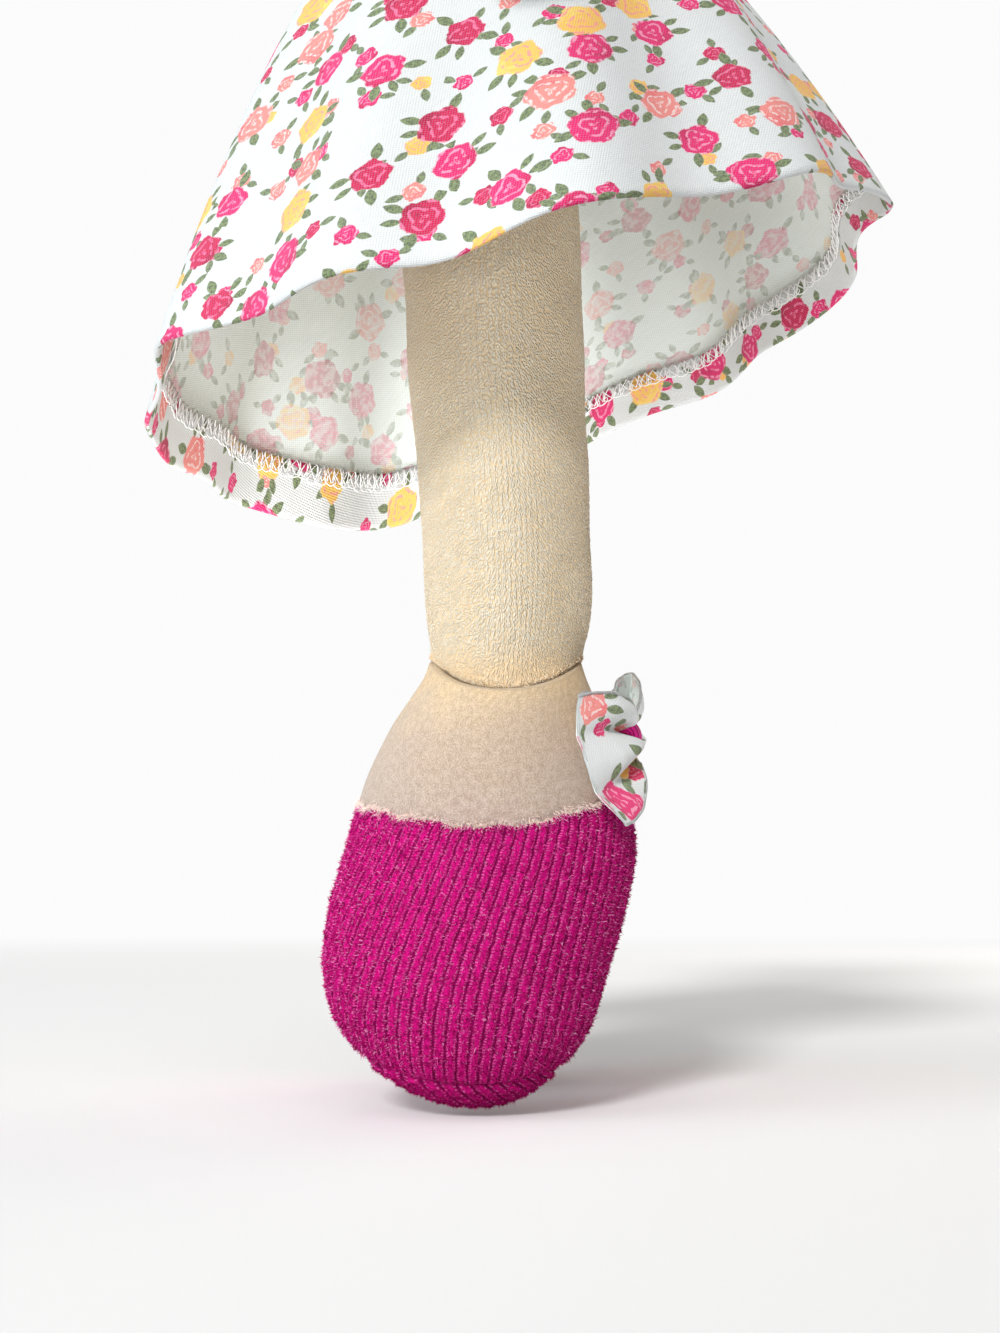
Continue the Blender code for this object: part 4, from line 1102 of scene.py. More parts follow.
def cloth_sheet(piece, thickness=0.35):
    """Give a sheet its thickness: print outside, the paler wrong side inside."""
    piece.data.materials.append(RIGHT_SIDE)
    piece.data.materials.append(WRONG_SIDE)
    keep_change(piece, "SOLIDIFY", thickness=thickness * MM, offset=-1, material_offset=1)


cover = torso_rows(WAIST_OUT)
cover = cover[(cover[:, 0] >= -1.0) & (cover[:, 0] <= NECKLINE)]


def bodice_creases(around, along):
    """Faint pulls over the trunk, and gathers that fade above the waist."""
    turn = TURN * around
    pull = 0.22 * np.sin(turn * 3 + along * 7) * np.sin(turn * 5 - along * 11) * np.sin(along * math.pi)
    gathers = 0.22 * np.sin(turn * 38 + 2 * np.sin(turn * 5)) * np.exp(-along * 9)
    return (pull + gathers) * MM


bodice = roll("bodice_cloth", 300, 60, oval_place(cover), oval_cloth(35, 50), bodice_creases)
cloth_sheet(bodice)
seat(bodice, None, "bodice", "torso")

bind = torso_rows(1.4)
bind = bind[(bind[:, 0] >= NECKLINE - 0.6) & (bind[:, 0] <= NECKLINE + 4.3)]
bind = smooth_rows(bind, 16)


def binding_place(around, along):
    """A folded strip round the neckline: outer face, rounded top and inner face."""
    turn = TURN * around
    fold = TURN * along
    height, width, depth = read(bind, 0.5 - 0.5 * np.cos(fold))
    grow = 0.55 * np.sin(fold) + 0.07 * np.sin(turn * 70) * np.sin(fold / 2)
    return np.stack([(width + grow) * np.cos(turn), (depth + grow) * np.sin(turn), height], axis=1) * MM


binding = roll("neck_binding_cloth", 420, 28, binding_place, flat_cloth(0.2, 0.012))
seat(binding, BINDING, "neck_binding", "torso")

# %% Sleeves
SLEEVE_LENGTH, SLEEVE_RADIUS = 44.0, 20.5
SLEEVE_SHARES = (
    (-0.26, 0.50), (-0.20, 0.74), (0.0, 0.94), (0.22, 1.00), (0.50, 0.98), (0.72, 0.88),
    (0.86, 0.775), (0.92, 0.79), (1.00, 0.84),
)
SLEEVE_SEAT = TORSO_WIDTH + 2.1
for side_name, side in SIDES:
    radii = [(share * SLEEVE_LENGTH, SLEEVE_RADIUS * full) for share, full in SLEEVE_SHARES]
    rows = [(reach, radius, radius) for reach, radius in radii]
    straight = along_line(smooth_rows(rows, 80), *arm_line(side), DEEP)

    def sleeve_place(around, along, straight=straight, side=side):
        turn = TURN * around
        near_cuff, near_seam = hill(along, 0.80, 0.13), hill(along, 0, 0.2)
        wave = np.sin(turn * 26 + 1.5 * np.sin(turn * 3)) + 0.5 * np.sin(turn * 17 + along * 3)
        middle = straight(np.zeros_like(around), along) + straight(np.full_like(around, 0.5), along)
        points = straight(around, along)
        way = points - middle / 2
        way = way / np.maximum(np.linalg.norm(way, axis=1, keepdims=True), 1e-9)
        fold = (0.55 * near_cuff + 0.5 * near_seam + 0.12) * wave
        points = points + way * (fold * MM)[:, None]
        points[:, 0] = side * np.maximum(side * points[:, 0], SLEEVE_SEAT * MM)
        return points

    sleeve = roll(f"sleeve_cloth_{side_name}", 300, 80, sleeve_place, flat_cloth(0.128, 0.062))
    cloth_sheet(sleeve)
    seat(sleeve, None, f"sleeve_{side_name}", f"arm_{side_name}")

# %% [markdown]
# ## The skirt, its hem and the overlock stitches
#
# The skirt is a flared sheet sewn to the waist. Its cloth doesn't end at the bottom edge: it turns
# up inside for fourteen millimetres, which is why the inside shows a bright band of the print's
# right side below the pale wrong side. So the grid runs down the outside, round the fold and up
# again inside, and Solidify with a second material does the rest.

# %% Skirt
SKIRT_LENGTH, SKIRT_TILT, SKIRT_SAG = 118.7, 28.4, 4.7
SKIRT_RADIUS, SKIRT_SHIFT = 91.5, 3.0
SKIRT_TOP_WIDTH, SKIRT_TOP_DEPTH = 42.5, 28.5
FLUTES, FLUTE_DEPTH = 11, 3.4
# Each drop of the hem: its bearing from the back, how far it spreads, and how low it hangs.
HEM_DROPS = (
    (1.03, 0.34, 8.2), (1.85, 0.30, -2.2), (2.60, 0.20, 4.3), (0.0, 0.18, -2.0),
    (-1.2, 0.4, -1.5), (-2.3, 0.3, 1.5), (-0.55, 0.35, -9.0),
)
HEM_TURN_UP, WALL_RUN = 14.0, 128
WALL_SHARE, FOLD_SHARE, WALL_POWER = 0.86, 0.88, 1.15
CUT_ANGLE, CUT_START, CUT_LENGTH = 2.52, 87.0, 135


def skirt_wall(turn, share):
    """The hanging cloth in millimetres: a bell with flutes that deepen towards a tilted hem."""
    share = np.maximum(share, 0)
    flare = share**0.65
    behind = np.exp(-((turn - TURN * np.round(turn / TURN)) ** 2) / 0.09)
    belly = 14.0 * behind**0.2 * share * (1 - share)
    flute = FLUTE_DEPTH * share * np.cos(FLUTES * turn) * (1 - behind) + belly
    soft = 0.9 * share * np.sin(5 * turn + 2.2) * np.sin(3 * turn + share * 2)
    gather = 0.75 * np.exp(-((share / 0.16) ** 1.2)) * np.sin(46 * turn + 2.5 * np.sin(4 * turn))
    grow = flute + soft + gather
    width = SKIRT_TOP_WIDTH + (SKIRT_RADIUS - SKIRT_TOP_WIDTH) * flare + grow
    depth = SKIRT_TOP_DEPTH + (SKIRT_RADIUS - SKIRT_TOP_DEPTH) * flare + grow
    length = SKIRT_LENGTH + SKIRT_TILT * np.cos(turn) - SKIRT_SAG * np.cos(2 * turn)
    length = length + share**3 * (0.5 * np.sin(9 * turn + 1.0) + 0.4 * np.sin(17 * turn))
    for bearing, spread, drop in HEM_DROPS:
        away = (turn - bearing + math.pi) % TURN - math.pi
        length = length + share**1.5 * drop * hill(away, 0, spread)
    y = depth * np.cos(turn) - SKIRT_SHIFT * flare
    return np.stack([width * np.sin(turn), y, -share * length], axis=1)


def skirt_in(turn, share):
    """Unit vectors square to the skirt wall, pointing to its inside."""
    step = 1e-3
    sideways = skirt_wall(turn + step, share + step) - skirt_wall(turn - step, share + step)
    downwards = skirt_wall(turn, share + 2 * step) - skirt_wall(turn, share)
    square = np.cross(downwards, sideways)
    return square / np.linalg.norm(square, axis=1, keepdims=True)


def skirt_place(around, along):
    """Down the wall, round the fold of the hem, and up again inside."""
    turn = TURN * (around - 0.5) + math.pi
    turn_up = HEM_TURN_UP / WALL_RUN
    fold = stretch(along, WALL_SHARE, FOLD_SHARE - WALL_SHARE)
    inside = stretch(along, FOLD_SHARE, 1 - FOLD_SHARE)
    share = np.minimum(along / WALL_SHARE, 1) ** WALL_POWER - turn_up * inside
    curl = 0.5 * (1 - np.cos(math.pi * fold))
    offset = 1.05 * curl + 0.25 * np.sin(math.pi * inside) * np.sin(23 * turn + 1) ** 2
    points = skirt_wall(turn, share) + skirt_in(turn, np.minimum(share, 0.999)) * offset[:, None]
    points[:, 2] -= 0.5 * np.sin(math.pi * fold)
    return points * MM


def skirt_cloth(around, along):
    """Where each point lay on the flared cut, in metres."""
    reach = CUT_START + CUT_LENGTH * np.minimum(along / WALL_SHARE, 1) ** WALL_POWER
    reach = reach + HEM_TURN_UP * stretch(along, WALL_SHARE, 1 - WALL_SHARE)
    bearing = CUT_ANGLE * (around - 0.5)
    return reach * np.sin(bearing) * MM, reach * np.cos(bearing) * MM


skirt = roll("skirt_cloth", 430, 100, skirt_place, skirt_cloth)
print("skirt faces before the wall:", len(skirt.data.polygons))
cloth_sheet(skirt)

# %% Overlock stitches along the raw edge of the hem
STITCH_PITCH = 2.7
STITCH_REACH = 4.4
HEM_RADIUS = 88
STITCHES = int(TURN * HEM_RADIUS / STITCH_PITCH)


def on_hem(run, rise, out):
    """A place beside the turned-up band: run along the hem, rise above its raw edge, out from it."""
    turn = run / STITCHES * TURN
    share = 1 - (HEM_TURN_UP + rise) / WALL_RUN
    return (skirt_wall(turn, share) + skirt_in(turn, share) * (1.55 + out)[:, None]) * MM


def overlock_thread(shape, points_each):
    """One thread that repeats a stitch all the way round."""
    run = np.arange(STITCHES * points_each + 1) / points_each
    across, rise, out = shape(run % 1, run)
    return on_hem(run + across / STITCH_PITCH, rise, out)


def scallop(phase, run):
    """The looper thread: round loops below, a pull to the raw edge above."""
    wander = 0.3 * np.sin(run * 2.1) + 0.2 * np.sin(run * 5.3)
    loop = TURN * phase
    rise = -STITCH_REACH + 1.15 * (1 - np.cos(loop)) + wander
    return 1.15 * np.sin(loop), rise, 0.12 * np.cos(loop) + 0.2


def slant(phase, run):
    """The over-edge thread: slanting strokes from the needle line over the raw edge."""
    climb = np.abs(2 * phase - 1)
    wander = 0.35 * np.sin(run * 3.7)
    across = 0.5 * np.sin(TURN * phase + 0.7) + wander
    return across, 0.5 - (STITCH_REACH - 0.4) * climb, 0.28 + 0.12 * np.sin(TURN * phase)


def cross_slant(phase, run):
    """A second over-edge thread, half a stitch on."""
    across, rise, out = slant((phase + 0.5) % 1, run + 0.5)
    return -across, rise - 0.3, out + 0.15


overlock = threads(
    "hem_overlock",
    [overlock_thread(scallop, 8), overlock_thread(slant, 6), overlock_thread(cross_slant, 6)],
    0.18 * MM,
    sides=4,
)
seat(overlock, OVERLOCK, None, "torso")
seat(skirt, None, "skirt", "torso")
print("overlock stitches:", STITCHES)

# %% [markdown]
# ## Legs
#
# A leg is a stuffed tube of terry that swells and dips a little, as stuffing does. At the ankle a
# seam pulls it in: the leg's puffed end bulges over the seam, lower at the sides than in front. The
# skin turns under there and closes in a dome, which sits in a hollow of the foot.

# %% Leg skin
FLOOR_LEVEL = -300.0
LEG_SPREAD = 28.0
SEAM_FRONT, SEAM_SIDE = 100.2, 91.4
LEG_ROWS = (
    (245.0, 4.0, 21.5), (225.0, 4.0, 21.5), (205.0, 3.4, 21.4), (186.5, 2.7, 21.1), (172.0, 2.0, 20.9),
    (157.3, 1.4, 20.5), (142.7, 0.4, 19.9), (128.4, -0.3, 19.6), (114.1, -0.6, 19.1), (107.5, -0.6, 18.5),
    (102.0, -0.4, 17.5), (97.0, -0.1, 16.9), (90.0, 0.0, 16.8),
)
LEG_PROFILE = smooth_rows(LEG_ROWS, 200)
HIP_LEVEL, HIP_DOME, LEG_END = 245.0, 21.0, 87.2


def seam_level(turn):
    """The ankle seam's height above the toe: low at the sides, high in front and behind."""
    return SEAM_FRONT - (SEAM_FRONT - SEAM_SIDE) * np.abs(np.cos(turn)) ** 1.6


def leg_place(side):
    """Dome at the hip, wall down to the seam, puffed roll under it, dome inside the foot."""

    def place(around, along):
        turn = TURN * around
        seam = seam_level(turn)
        dome, wall = stretch(along, 0, 0.10), stretch(along, 0.10, 0.76)
        rolled, under = stretch(along, 0.86, 0.06), stretch(along, 0.92, 0.08)
        height = HIP_LEVEL + (seam + 1.0 - HIP_LEVEL) * wall
        z_table = LEG_PROFILE[::-1, 0]
        centre = np.interp(height, z_table, LEG_PROFILE[::-1, 1])
        radius = np.interp(height, z_table, LEG_PROFILE[::-1, 2])
        stuffing = 0.25 * np.sin(turn * 2 + height * 0.09) * np.sin(height * 0.13)
        radius = radius + stuffing * ease(along, 0.1, 0.3)
        height = height + HIP_DOME * np.cos(math.pi / 2 * dome)
        radius = radius * np.sin(math.pi / 2 * np.maximum(dome, 1e-6))
        radius = radius - 1.2 * (1 - np.cos(math.pi / 2 * rolled))
        height = height - 1.0 * np.sin(math.pi / 2 * rolled)
        height = height + (LEG_END - seam) * np.sin(math.pi / 2 * under) * (under > 0)
        radius = radius * np.cos(math.pi / 2 * under)
        x = side * LEG_SPREAD + radius * np.cos(turn)
        y = centre + radius * np.sin(turn)
        return np.stack([x, y, height + FLOOR_LEVEL], axis=1) * MM

    return place


LOOP_RELIEF = 0.20
LEG_STOPS, LEG_RUNS = (0, 0.10, 0.86, 0.92, 1), (0, 26, 176, 178.5, 196)


def leg_cloth(around, along):
    """Cloth in metres down the leg, with the short roll under the seam at its own length."""
    return around * TURN * LIMB_RADIUS * MM, np.interp(along, LEG_STOPS, LEG_RUNS) * MM


def pile_relief(around, along):
    """Lumps of looped pile, in columns, big enough to show on the leg's outline."""
    across, down = around * TURN * LIMB_RADIUS, along * 175
    columns = np.sin(across * TURN / COLUMN)
    loops = np.sin(down * TURN / 1.9 + 3 * np.sin(across * 2.1))
    loops = loops * np.sin(across * TURN / 2.3 + 2 * np.sin(down * 0.9))
    stuffing = np.sin(across * 0.16 + down * 0.11) * np.sin(down * 0.07 + 1) * 1.2
    raised = (columns * 0.35 + loops * 0.6 + stuffing) * LOOP_RELIEF * MM
    return raised * ease(along, 0.02, 0.1) * ease(along, 0.99, 0.93)


def crease_fluff(side, count):
    """Loops of the leg's pile that hang over the ankle seam."""
    points = leg_place(side)(luck.random(count), 0.857 + 0.05 * luck.random(count)) / MM
    out = (points - np.array([side * LEG_SPREAD, 0, 0])) * (1, 1, 0)
    out /= np.linalg.norm(out, axis=1, keepdims=True)
    ways = out * 0.5 + luck.normal(size=(count, 3)) * 0.4 + np.array([0, 0, -1.0])
    return points * MM, ways, (0.5 + 0.5 * luck.random(count)) * MM, 0.10 * MM, luck.random(count)


for side_name, side in SIDES:
    fluff = tufts(f"ankle_pile_{side_name}", *crease_fluff(side, 3200))
    seat(fluff, GOLDEN_PILE, None, f"foot_{side_name}")
    leg = roll(f"leg_skin_{side_name}", 250, 240, leg_place(side), leg_cloth, pile_relief)
    seat(leg, TERRY, f"leg_{side_name}", None)
    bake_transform(leg)

# %% [markdown]
# ## Feet
#
# Below the seam the foot swells out at once. It is a long rounded form, wider from front to back
# than from side to side, and it hangs toe down. Its rows are the height above the toe, the centre,
# the half depth and the half width, set to the foot's outline and smoothed.

# %% The foot's form
FOOT_ROWS = (
    (0.6, 6.5, 0.0, 0.0), (1.6, 6.8, 7.6, 5.2), (4.2, 7.4, 13.8, 10.4), (9.0, 8.3, 20.6, 15.8),
    (14.8, 8.7, 25.8, 19.4), (21.3, 9.1, 29.4, 22.2), (30.4, 8.7, 31.8, 24.3), (43.3, 6.3, 33.2, 25.4),
    (56.7, 3.3, 32.7, 24.9), (68.2, 2.6, 30.3, 23.7), (77.0, 2.4, 27.2, 22.1), (84.0, 1.8, 24.4, 20.6),
    (90.8, 0.6, 21.2, 19.3), (96.0, 0.0, 18.6, 18.2), (101.0, -0.1, 17.0, 17.2),
)
FOOT_PROFILE = smooth_rows(FOOT_ROWS, 400)
LENS_POWER = 1.18


def foot_point(turn, share, grow, side):
    """A point of the foot: turn 0 is the outer side line, a quarter turn the front seam."""
    height, centre, depth, width = read(FOOT_PROFILE, share)
    lens = np.sign(np.cos(turn)) * np.abs(np.cos(turn)) ** LENS_POWER
    thin = np.minimum(1, depth / 9.0)
    x = side * (LEG_SPREAD + (width + grow * thin) * lens)
    y = centre - (depth + grow * thin) * np.sin(turn)
    return np.stack([x, y, height - grow * ease(height, 14, 0) * 0.8 + FLOOR_LEVEL], axis=1)


def share_at(height):
    """The share of the way up the foot's profile at a height above the toe."""
    return np.interp(height, FOOT_PROFILE[:, 0], np.linspace(0, 1, len(FOOT_PROFILE)))


def vamp_level(turn):
    """The shoe's top edge above the toe: lowest at the sides, highest in front."""
    front, back = np.maximum(np.sin(turn), 0), np.maximum(-np.sin(turn), 0)
    waves = 0.35 * np.sin(turn * 13 + 1) + 0.25 * np.sin(turn * 29)
    return 60.6 + 8.9 * front**1.7 + 5.6 * back**1.7 + waves


def instep_place(side):
    """Up the foot to the ankle seam, over its rounded edge, and down into a hollow."""

    def place(around, along):
        turn = TURN * around
        seam = seam_level(turn)
        wall, rolled, bowl = stretch(along, 0, 0.84), stretch(along, 0.84, 0.07), stretch(along, 0.91, 0.09)
        top = share_at(seam - 1.1)
        height = read(FOOT_PROFILE, top * wall)[0]
        vamp = vamp_level(turn)
        grow = -2.7 + 2.65 * ease(height, vamp - 3.0, vamp + 2.0)
        points = foot_point(turn, top * wall, grow, side)
        axis = np.stack([np.full_like(turn, side * LEG_SPREAD), np.zeros_like(turn), points[:, 2]], axis=1)
        reach = points - axis
        length = np.linalg.norm(reach[:, :2], axis=1)
        way = reach / np.maximum(length, 1e-9)[:, None]
        slope_in = 2.2 * (1 - np.cos(math.pi / 2 * rolled))
        length = np.maximum(length - slope_in, 0) * np.cos(math.pi / 2 * bowl)
        points = axis + way * length[:, None]
        points[:, 2] += 0.8 * np.sin(math.pi / 2 * rolled)
        points[:, 2] += (86.4 + 0.3 - seam) * np.sin(math.pi / 2 * bowl) * (bowl > 0)
        return points * MM

    return place


def nap_relief(around, along):
    """A faint unevenness of the stuffing under the velour."""
    turn = TURN * around
    lumps = 0.18 * MM * np.sin(turn * 4 + along * 17) * np.sin(along * 31 + turn * 2)
    return lumps * ease(along, 0.1, 0.4) * ease(along, 0.84, 0.7)


def edge_fluff(side, count):
    """Velour nap that hangs over the shoe's top edge."""
    turn = TURN * luck.random(count)
    above = luck.normal(size=count) * 0.5
    points = foot_point(turn, share_at(vamp_level(turn) + 0.5 + above), 0.1, side)
    out = points - np.array([side * LEG_SPREAD, 2.0, 0]) * (1, 1, 0) - points * (0, 0, 1)
    out /= np.linalg.norm(out, axis=1, keepdims=True)
    ways = out + luck.normal(size=(count, 3)) * 0.45 + np.array([0, 0, -0.5])
    return points * MM, ways, (0.5 + 0.5 * luck.random(count)) * MM, 0.07 * MM, luck.random(count)


for side_name, side in SIDES:
    fluff = tufts(f"instep_nap_{side_name}", *edge_fluff(side, 4500))
    seat(fluff, CREAM_PILE, None, f"foot_{side_name}")
    foot = roll(f"foot_skin_{side_name}", 220, 150, instep_place(side), oval_cloth(26, 110), nap_relief)
    seat(foot, VELOUR, f"foot_{side_name}", f"foot_{side_name}")

# %% [markdown]
# ## Corduroy shoes
#
# The shoe is two side panels of corduroy, sewn together in front, behind and round the toe. The
# ribs are cut parallel in the flat, so seen from the side they stay about parallel too: a rib is a
# line where the distance from front to back, plus a lean that grows with the height, stays the
# same. Counting that distance in rib widths gives both the raised ribs and the UV map.

# %% Shoes
SHOE_GROW = -0.35
RIB_RISE = 0.52
TOE_SEAM = 6.4
OUTER_SHARE = 0.90


def rib_count(turn, points):
    """How many ribs a point lies from the middle of its panel, counted from front to back."""
    y, z = points[:, 1], points[:, 2] - FLOOR_LEVEL
    climb = 0.22 * z + 0.78 * 9.0 * np.log1p(np.exp((z - 27.0) / 9.0))
    lean = (0.33 + 0.0072 * y) * climb
    arc = -31.5 * np.arcsin(0.9999 * np.sin(turn))
    return (0.60 * y + 0.40 * arc + lean) / RIB_PITCH


def toe_seam_level(points):
    """Height of the seam that runs under the toe, a shallow curve seen from the side."""
    return TOE_SEAM + 0.0085 * (points[:, 1] - 6.5) ** 2


def shoe_count(turn, points):
    """The rib count, with the ribs of the piece under the toe slanting the other way."""
    y, z = points[:, 1], points[:, 2] - FLOOR_LEVEL
    other = (y * 0.86 - z * 0.9 + 40) / RIB_PITCH
    below = ease(toe_seam_level(points) - z, -0.25, 0.25) > 0.5
    return np.where(below, other, rib_count(turn, points))


def rib_height(turn, points):
    """Ribs, the seams between the panels and the seam under the toe, in millimetres."""
    count = shoe_count(turn, points)
    rib_number, run = np.floor(count), points[:, 2]
    share = count - rib_number
    rib = np.clip(1 - np.abs(2 * share - 1.02) ** 3.2, 0, 1)
    lumps = 0.20 * np.sin(run * TURN / 1.9 + rib_number * 2.4)
    lumps = lumps + 0.14 * np.sin(run * TURN / 1.3 + rib_number * 5)
    seam = hill(np.cos(turn) * 25.0, 0, 1.5)
    toe = hill((run - FLOOR_LEVEL) - toe_seam_level(points), 0, 0.7)
    return RIB_RISE * rib * (1 + lumps) - 1.0 * seam - 0.9 * toe


def shoe_place(side, raised=True):
    """Outer face from the toe to the top edge, over the edge, and the lining back to the toe."""

    def place(around, along):
        turn = TURN * around
        outer, edge = stretch(along, 0, OUTER_SHARE), stretch(along, OUTER_SHARE, 0.025)
        lining = stretch(along, 0.925, 0.075)
        top = share_at(vamp_level(turn))
        share = top * outer * (1 - lining)
        base = foot_point(turn, share, SHOE_GROW, side)
        if not raised:
            return base * MM
        tuck = ease(outer, 1.0, 0.975)
        grow = SHOE_GROW - 0.45 * (1 - tuck) + rib_height(turn, base) * tuck * (edge == 0) - 1.75 * edge
        points = foot_point(turn, share, grow, side)
        points[:, 2] += 0.25 * np.sin(math.pi * edge)
        return points * MM

    return place


def shoe_cloth(side):
    """The rib count, and the run along the ribs in millimetres."""

    def cloth(around, along):
        turn = TURN * around
        base = shoe_place(side, raised=False)(around, along) / MM
        return shoe_count(turn, base), (base[:, 2] - FLOOR_LEVEL) * 1.05 + 3 * np.sign(np.cos(turn))

    return cloth


def shoe_pile(side, wanted):
    """Roots, directions, lengths and colours of the fibres that stand up on the ribs."""
    place = shoe_place(side, raised=False)
    around, outer = luck.random(wanted * 3), luck.random(wanted * 3)
    step = 1e-3
    sideways = place(around + step, outer * OUTER_SHARE) - place(around - step, outer * OUTER_SHARE)
    upwards = place(around, (outer + step) * OUTER_SHARE) - place(around, (outer - step) * OUTER_SHARE)
    square = np.cross(sideways, upwards)
    area = np.linalg.norm(square, axis=1)
    turn = TURN * around
    base = place(around, outer * OUTER_SHARE) / MM
    centre = np.array([side * LEG_SPREAD, 5.0, FLOOR_LEVEL + 35])
    out = square / area[:, None]
    out *= np.sign(np.sum(out * (base - centre), axis=1))[:, None]
    count = shoe_count(turn, base)
    share = count - np.floor(count)
    height = rib_height(turn, base)
    chance = area / np.quantile(area, 0.98) * (0.25 + 0.75 * ease(height, 0.0, 0.4))
    keep = np.flatnonzero(luck.random(len(around)) < chance)[:wanted]
    base, out, share, height, outer = base[keep], out[keep], share[keep], height[keep], outer[keep]
    # Light fibres gather on the rib edges, partly as a painted highlight there, and on the shoe's top edge.
    edge = hill(share, 0.80, 0.12) + 0.7 * hill(share, 0.18, 0.10)
    light = luck.random(len(keep)) < 0.10 + 0.42 * edge + 0.5 * (outer > 0.985)
    tone = np.where(light, 0.72 + 0.28 * luck.random(len(keep)), 0.72 * luck.random(len(keep)))
    # Painted shade: fibres grow darker low on the toe, near the floor.
    tone *= 0.35 + 0.65 * ease(base[:, 2] - FLOOR_LEVEL, 0.0, 16.0)
    lean = luck.normal(size=(len(keep), 3)) * 0.9
    lean[:, 2] += 0.3
    ways = out + lean - out * np.minimum(np.sum(lean * out, axis=1), 0)[:, None]
    roots = base + out * (height - 0.12)[:, None]
    length = 0.65 + 0.55 * luck.random(len(keep)) ** 2 + 0.8 * (luck.random(len(keep)) < 0.012)
    return roots * MM, ways, length * MM, 0.15 * MM, tone


for side_name, side in SIDES:
    shoe = roll(f"shoe_cloth_{side_name}", 480, 136, shoe_place(side), shoe_cloth(side))
    seat(shoe, CORDUROY, f"shoe_{side_name}", f"foot_{side_name}")
    fibres = tufts(f"shoe_pile_{side_name}", *shoe_pile(side, 44000))
    seat(fibres, MAGENTA_PILE, None, f"foot_{side_name}")

# %% [markdown]
# ## Bows
#
# A bow is a folded strip of the dress cotton, pinched in the middle by a ribbed band. Pleats run
# out of the pinch and fade towards the tips, and the bow sits a little crooked: its outer wing
# hangs lower than the inner one, and its lower corner comes forward.

# %% Bows and knots
BOW_REACH, BOW_HALF_HEIGHT = 23.5, 13.8
BOW_MIDDLE = np.array([LEG_SPREAD, -27.6, 82.0 + FLOOR_LEVEL])
WING_HEIGHTS = ((0.0, 0.21), (0.15, 0.29), (0.3, 0.52), (0.5, 0.76), (0.72, 0.93), (0.9, 1.0), (1.0, 1.0))
WING_GAP = ((0.0, 0.9), (0.18, 1.6), (0.4, 3.2), (0.7, 3.4), (0.9, 2.0), (1.0, 0.9))
OUTER_SWEEP = ((-1.0, 2.4), (-0.75, 5.0), (-0.5, 7.8), (0.0, 11.2), (0.35, 12.4), (1.0, 11.6))
INNER_SWEEP = ((-1.0, 1.0), (0.0, -1.5), (0.5, -3.0), (1.0, -3.7))
PLEATS = ((0.34, 0.17, -4.2), (0.76, 0.20, 1.6), (-0.10, 0.24, 2.6), (-0.60, 0.18, -4.0), (-0.97, 0.15, 1.4))


def wing_point(side, outer, rise, swing):
    """A point of one wing: rise across the strip, and swing from the front layer round the tip."""
    turn = math.pi * swing
    t = np.sin(turn) ** 0.75
    high = BOW_HALF_HEIGHT * np.interp(t, *np.array(WING_HEIGHTS).T)
    gap = np.interp(t, *np.array(WING_GAP).T)
    sweep = np.interp(rise, *np.array(OUTER_SWEEP if outer else INNER_SWEEP).T)
    droop = -7.0 if outer else 4.4
    pleat = sum(deep * hill(rise, place, wide) for place, wide, deep in PLEATS)
    fade = 1.25 * (1.0 - t) ** 0.62 * ease(t, 0.04, 0.28)
    y = -np.cos(turn) * gap + sweep * t**1.7 - pleat * fade * np.where(swing < 0.5, 1.0, 0.4)
    y = y + 0.5 * np.sin(rise * 5 + t * 4) * ease(t, 0.5, 0.9)
    x = side * (LEG_SPREAD + (1 if outer else -1) * BOW_REACH * t * (1 - 0.06 * rise**2))
    z = BOW_MIDDLE[2] + rise * high + droop * t**1.4
    return np.stack([x, BOW_MIDDLE[1] + y, z], axis=1) * MM


def wing_rim(side, outer, rise):
    """The folded edge along one long side of the strip; its paler thread carries a painted highlight."""
    swing = np.linspace(0.04, 0.96, 40)
    return wing_point(side, outer, np.full(40, float(rise)), swing)


KNOT_ROWS = np.array([
    (-0.7, 0.0), (-0.97, 0.5), (-1.0, 0.84), (-0.88, 0.96),
    (0.88, 0.96), (1.0, 0.84), (0.97, 0.5), (0.7, 0.0),
])
KNOT_PROFILE = smooth_rows(KNOT_ROWS * (4.6, 5.2), 60) / (4.6, 5.2)


def knot_place(side):
    """A ribbed band round the pinch; its ends close behind the wings."""

    def place(around, along):
        across, full = read(KNOT_PROFILE, along)
        turn = TURN * around
        rib = 0.24 * np.abs(np.sin(across * math.pi * 2.6)) * ease(full, 0.7, 0.9)
        x = side * LEG_SPREAD + 4.5 * across
        y = BOW_MIDDLE[1] + 0.5 - (3.2 * full + rib) * np.cos(turn)
        z = BOW_MIDDLE[2] + (3.5 * full + rib) * np.sin(turn)
        return np.stack([x, y, z], axis=1) * MM

    return place


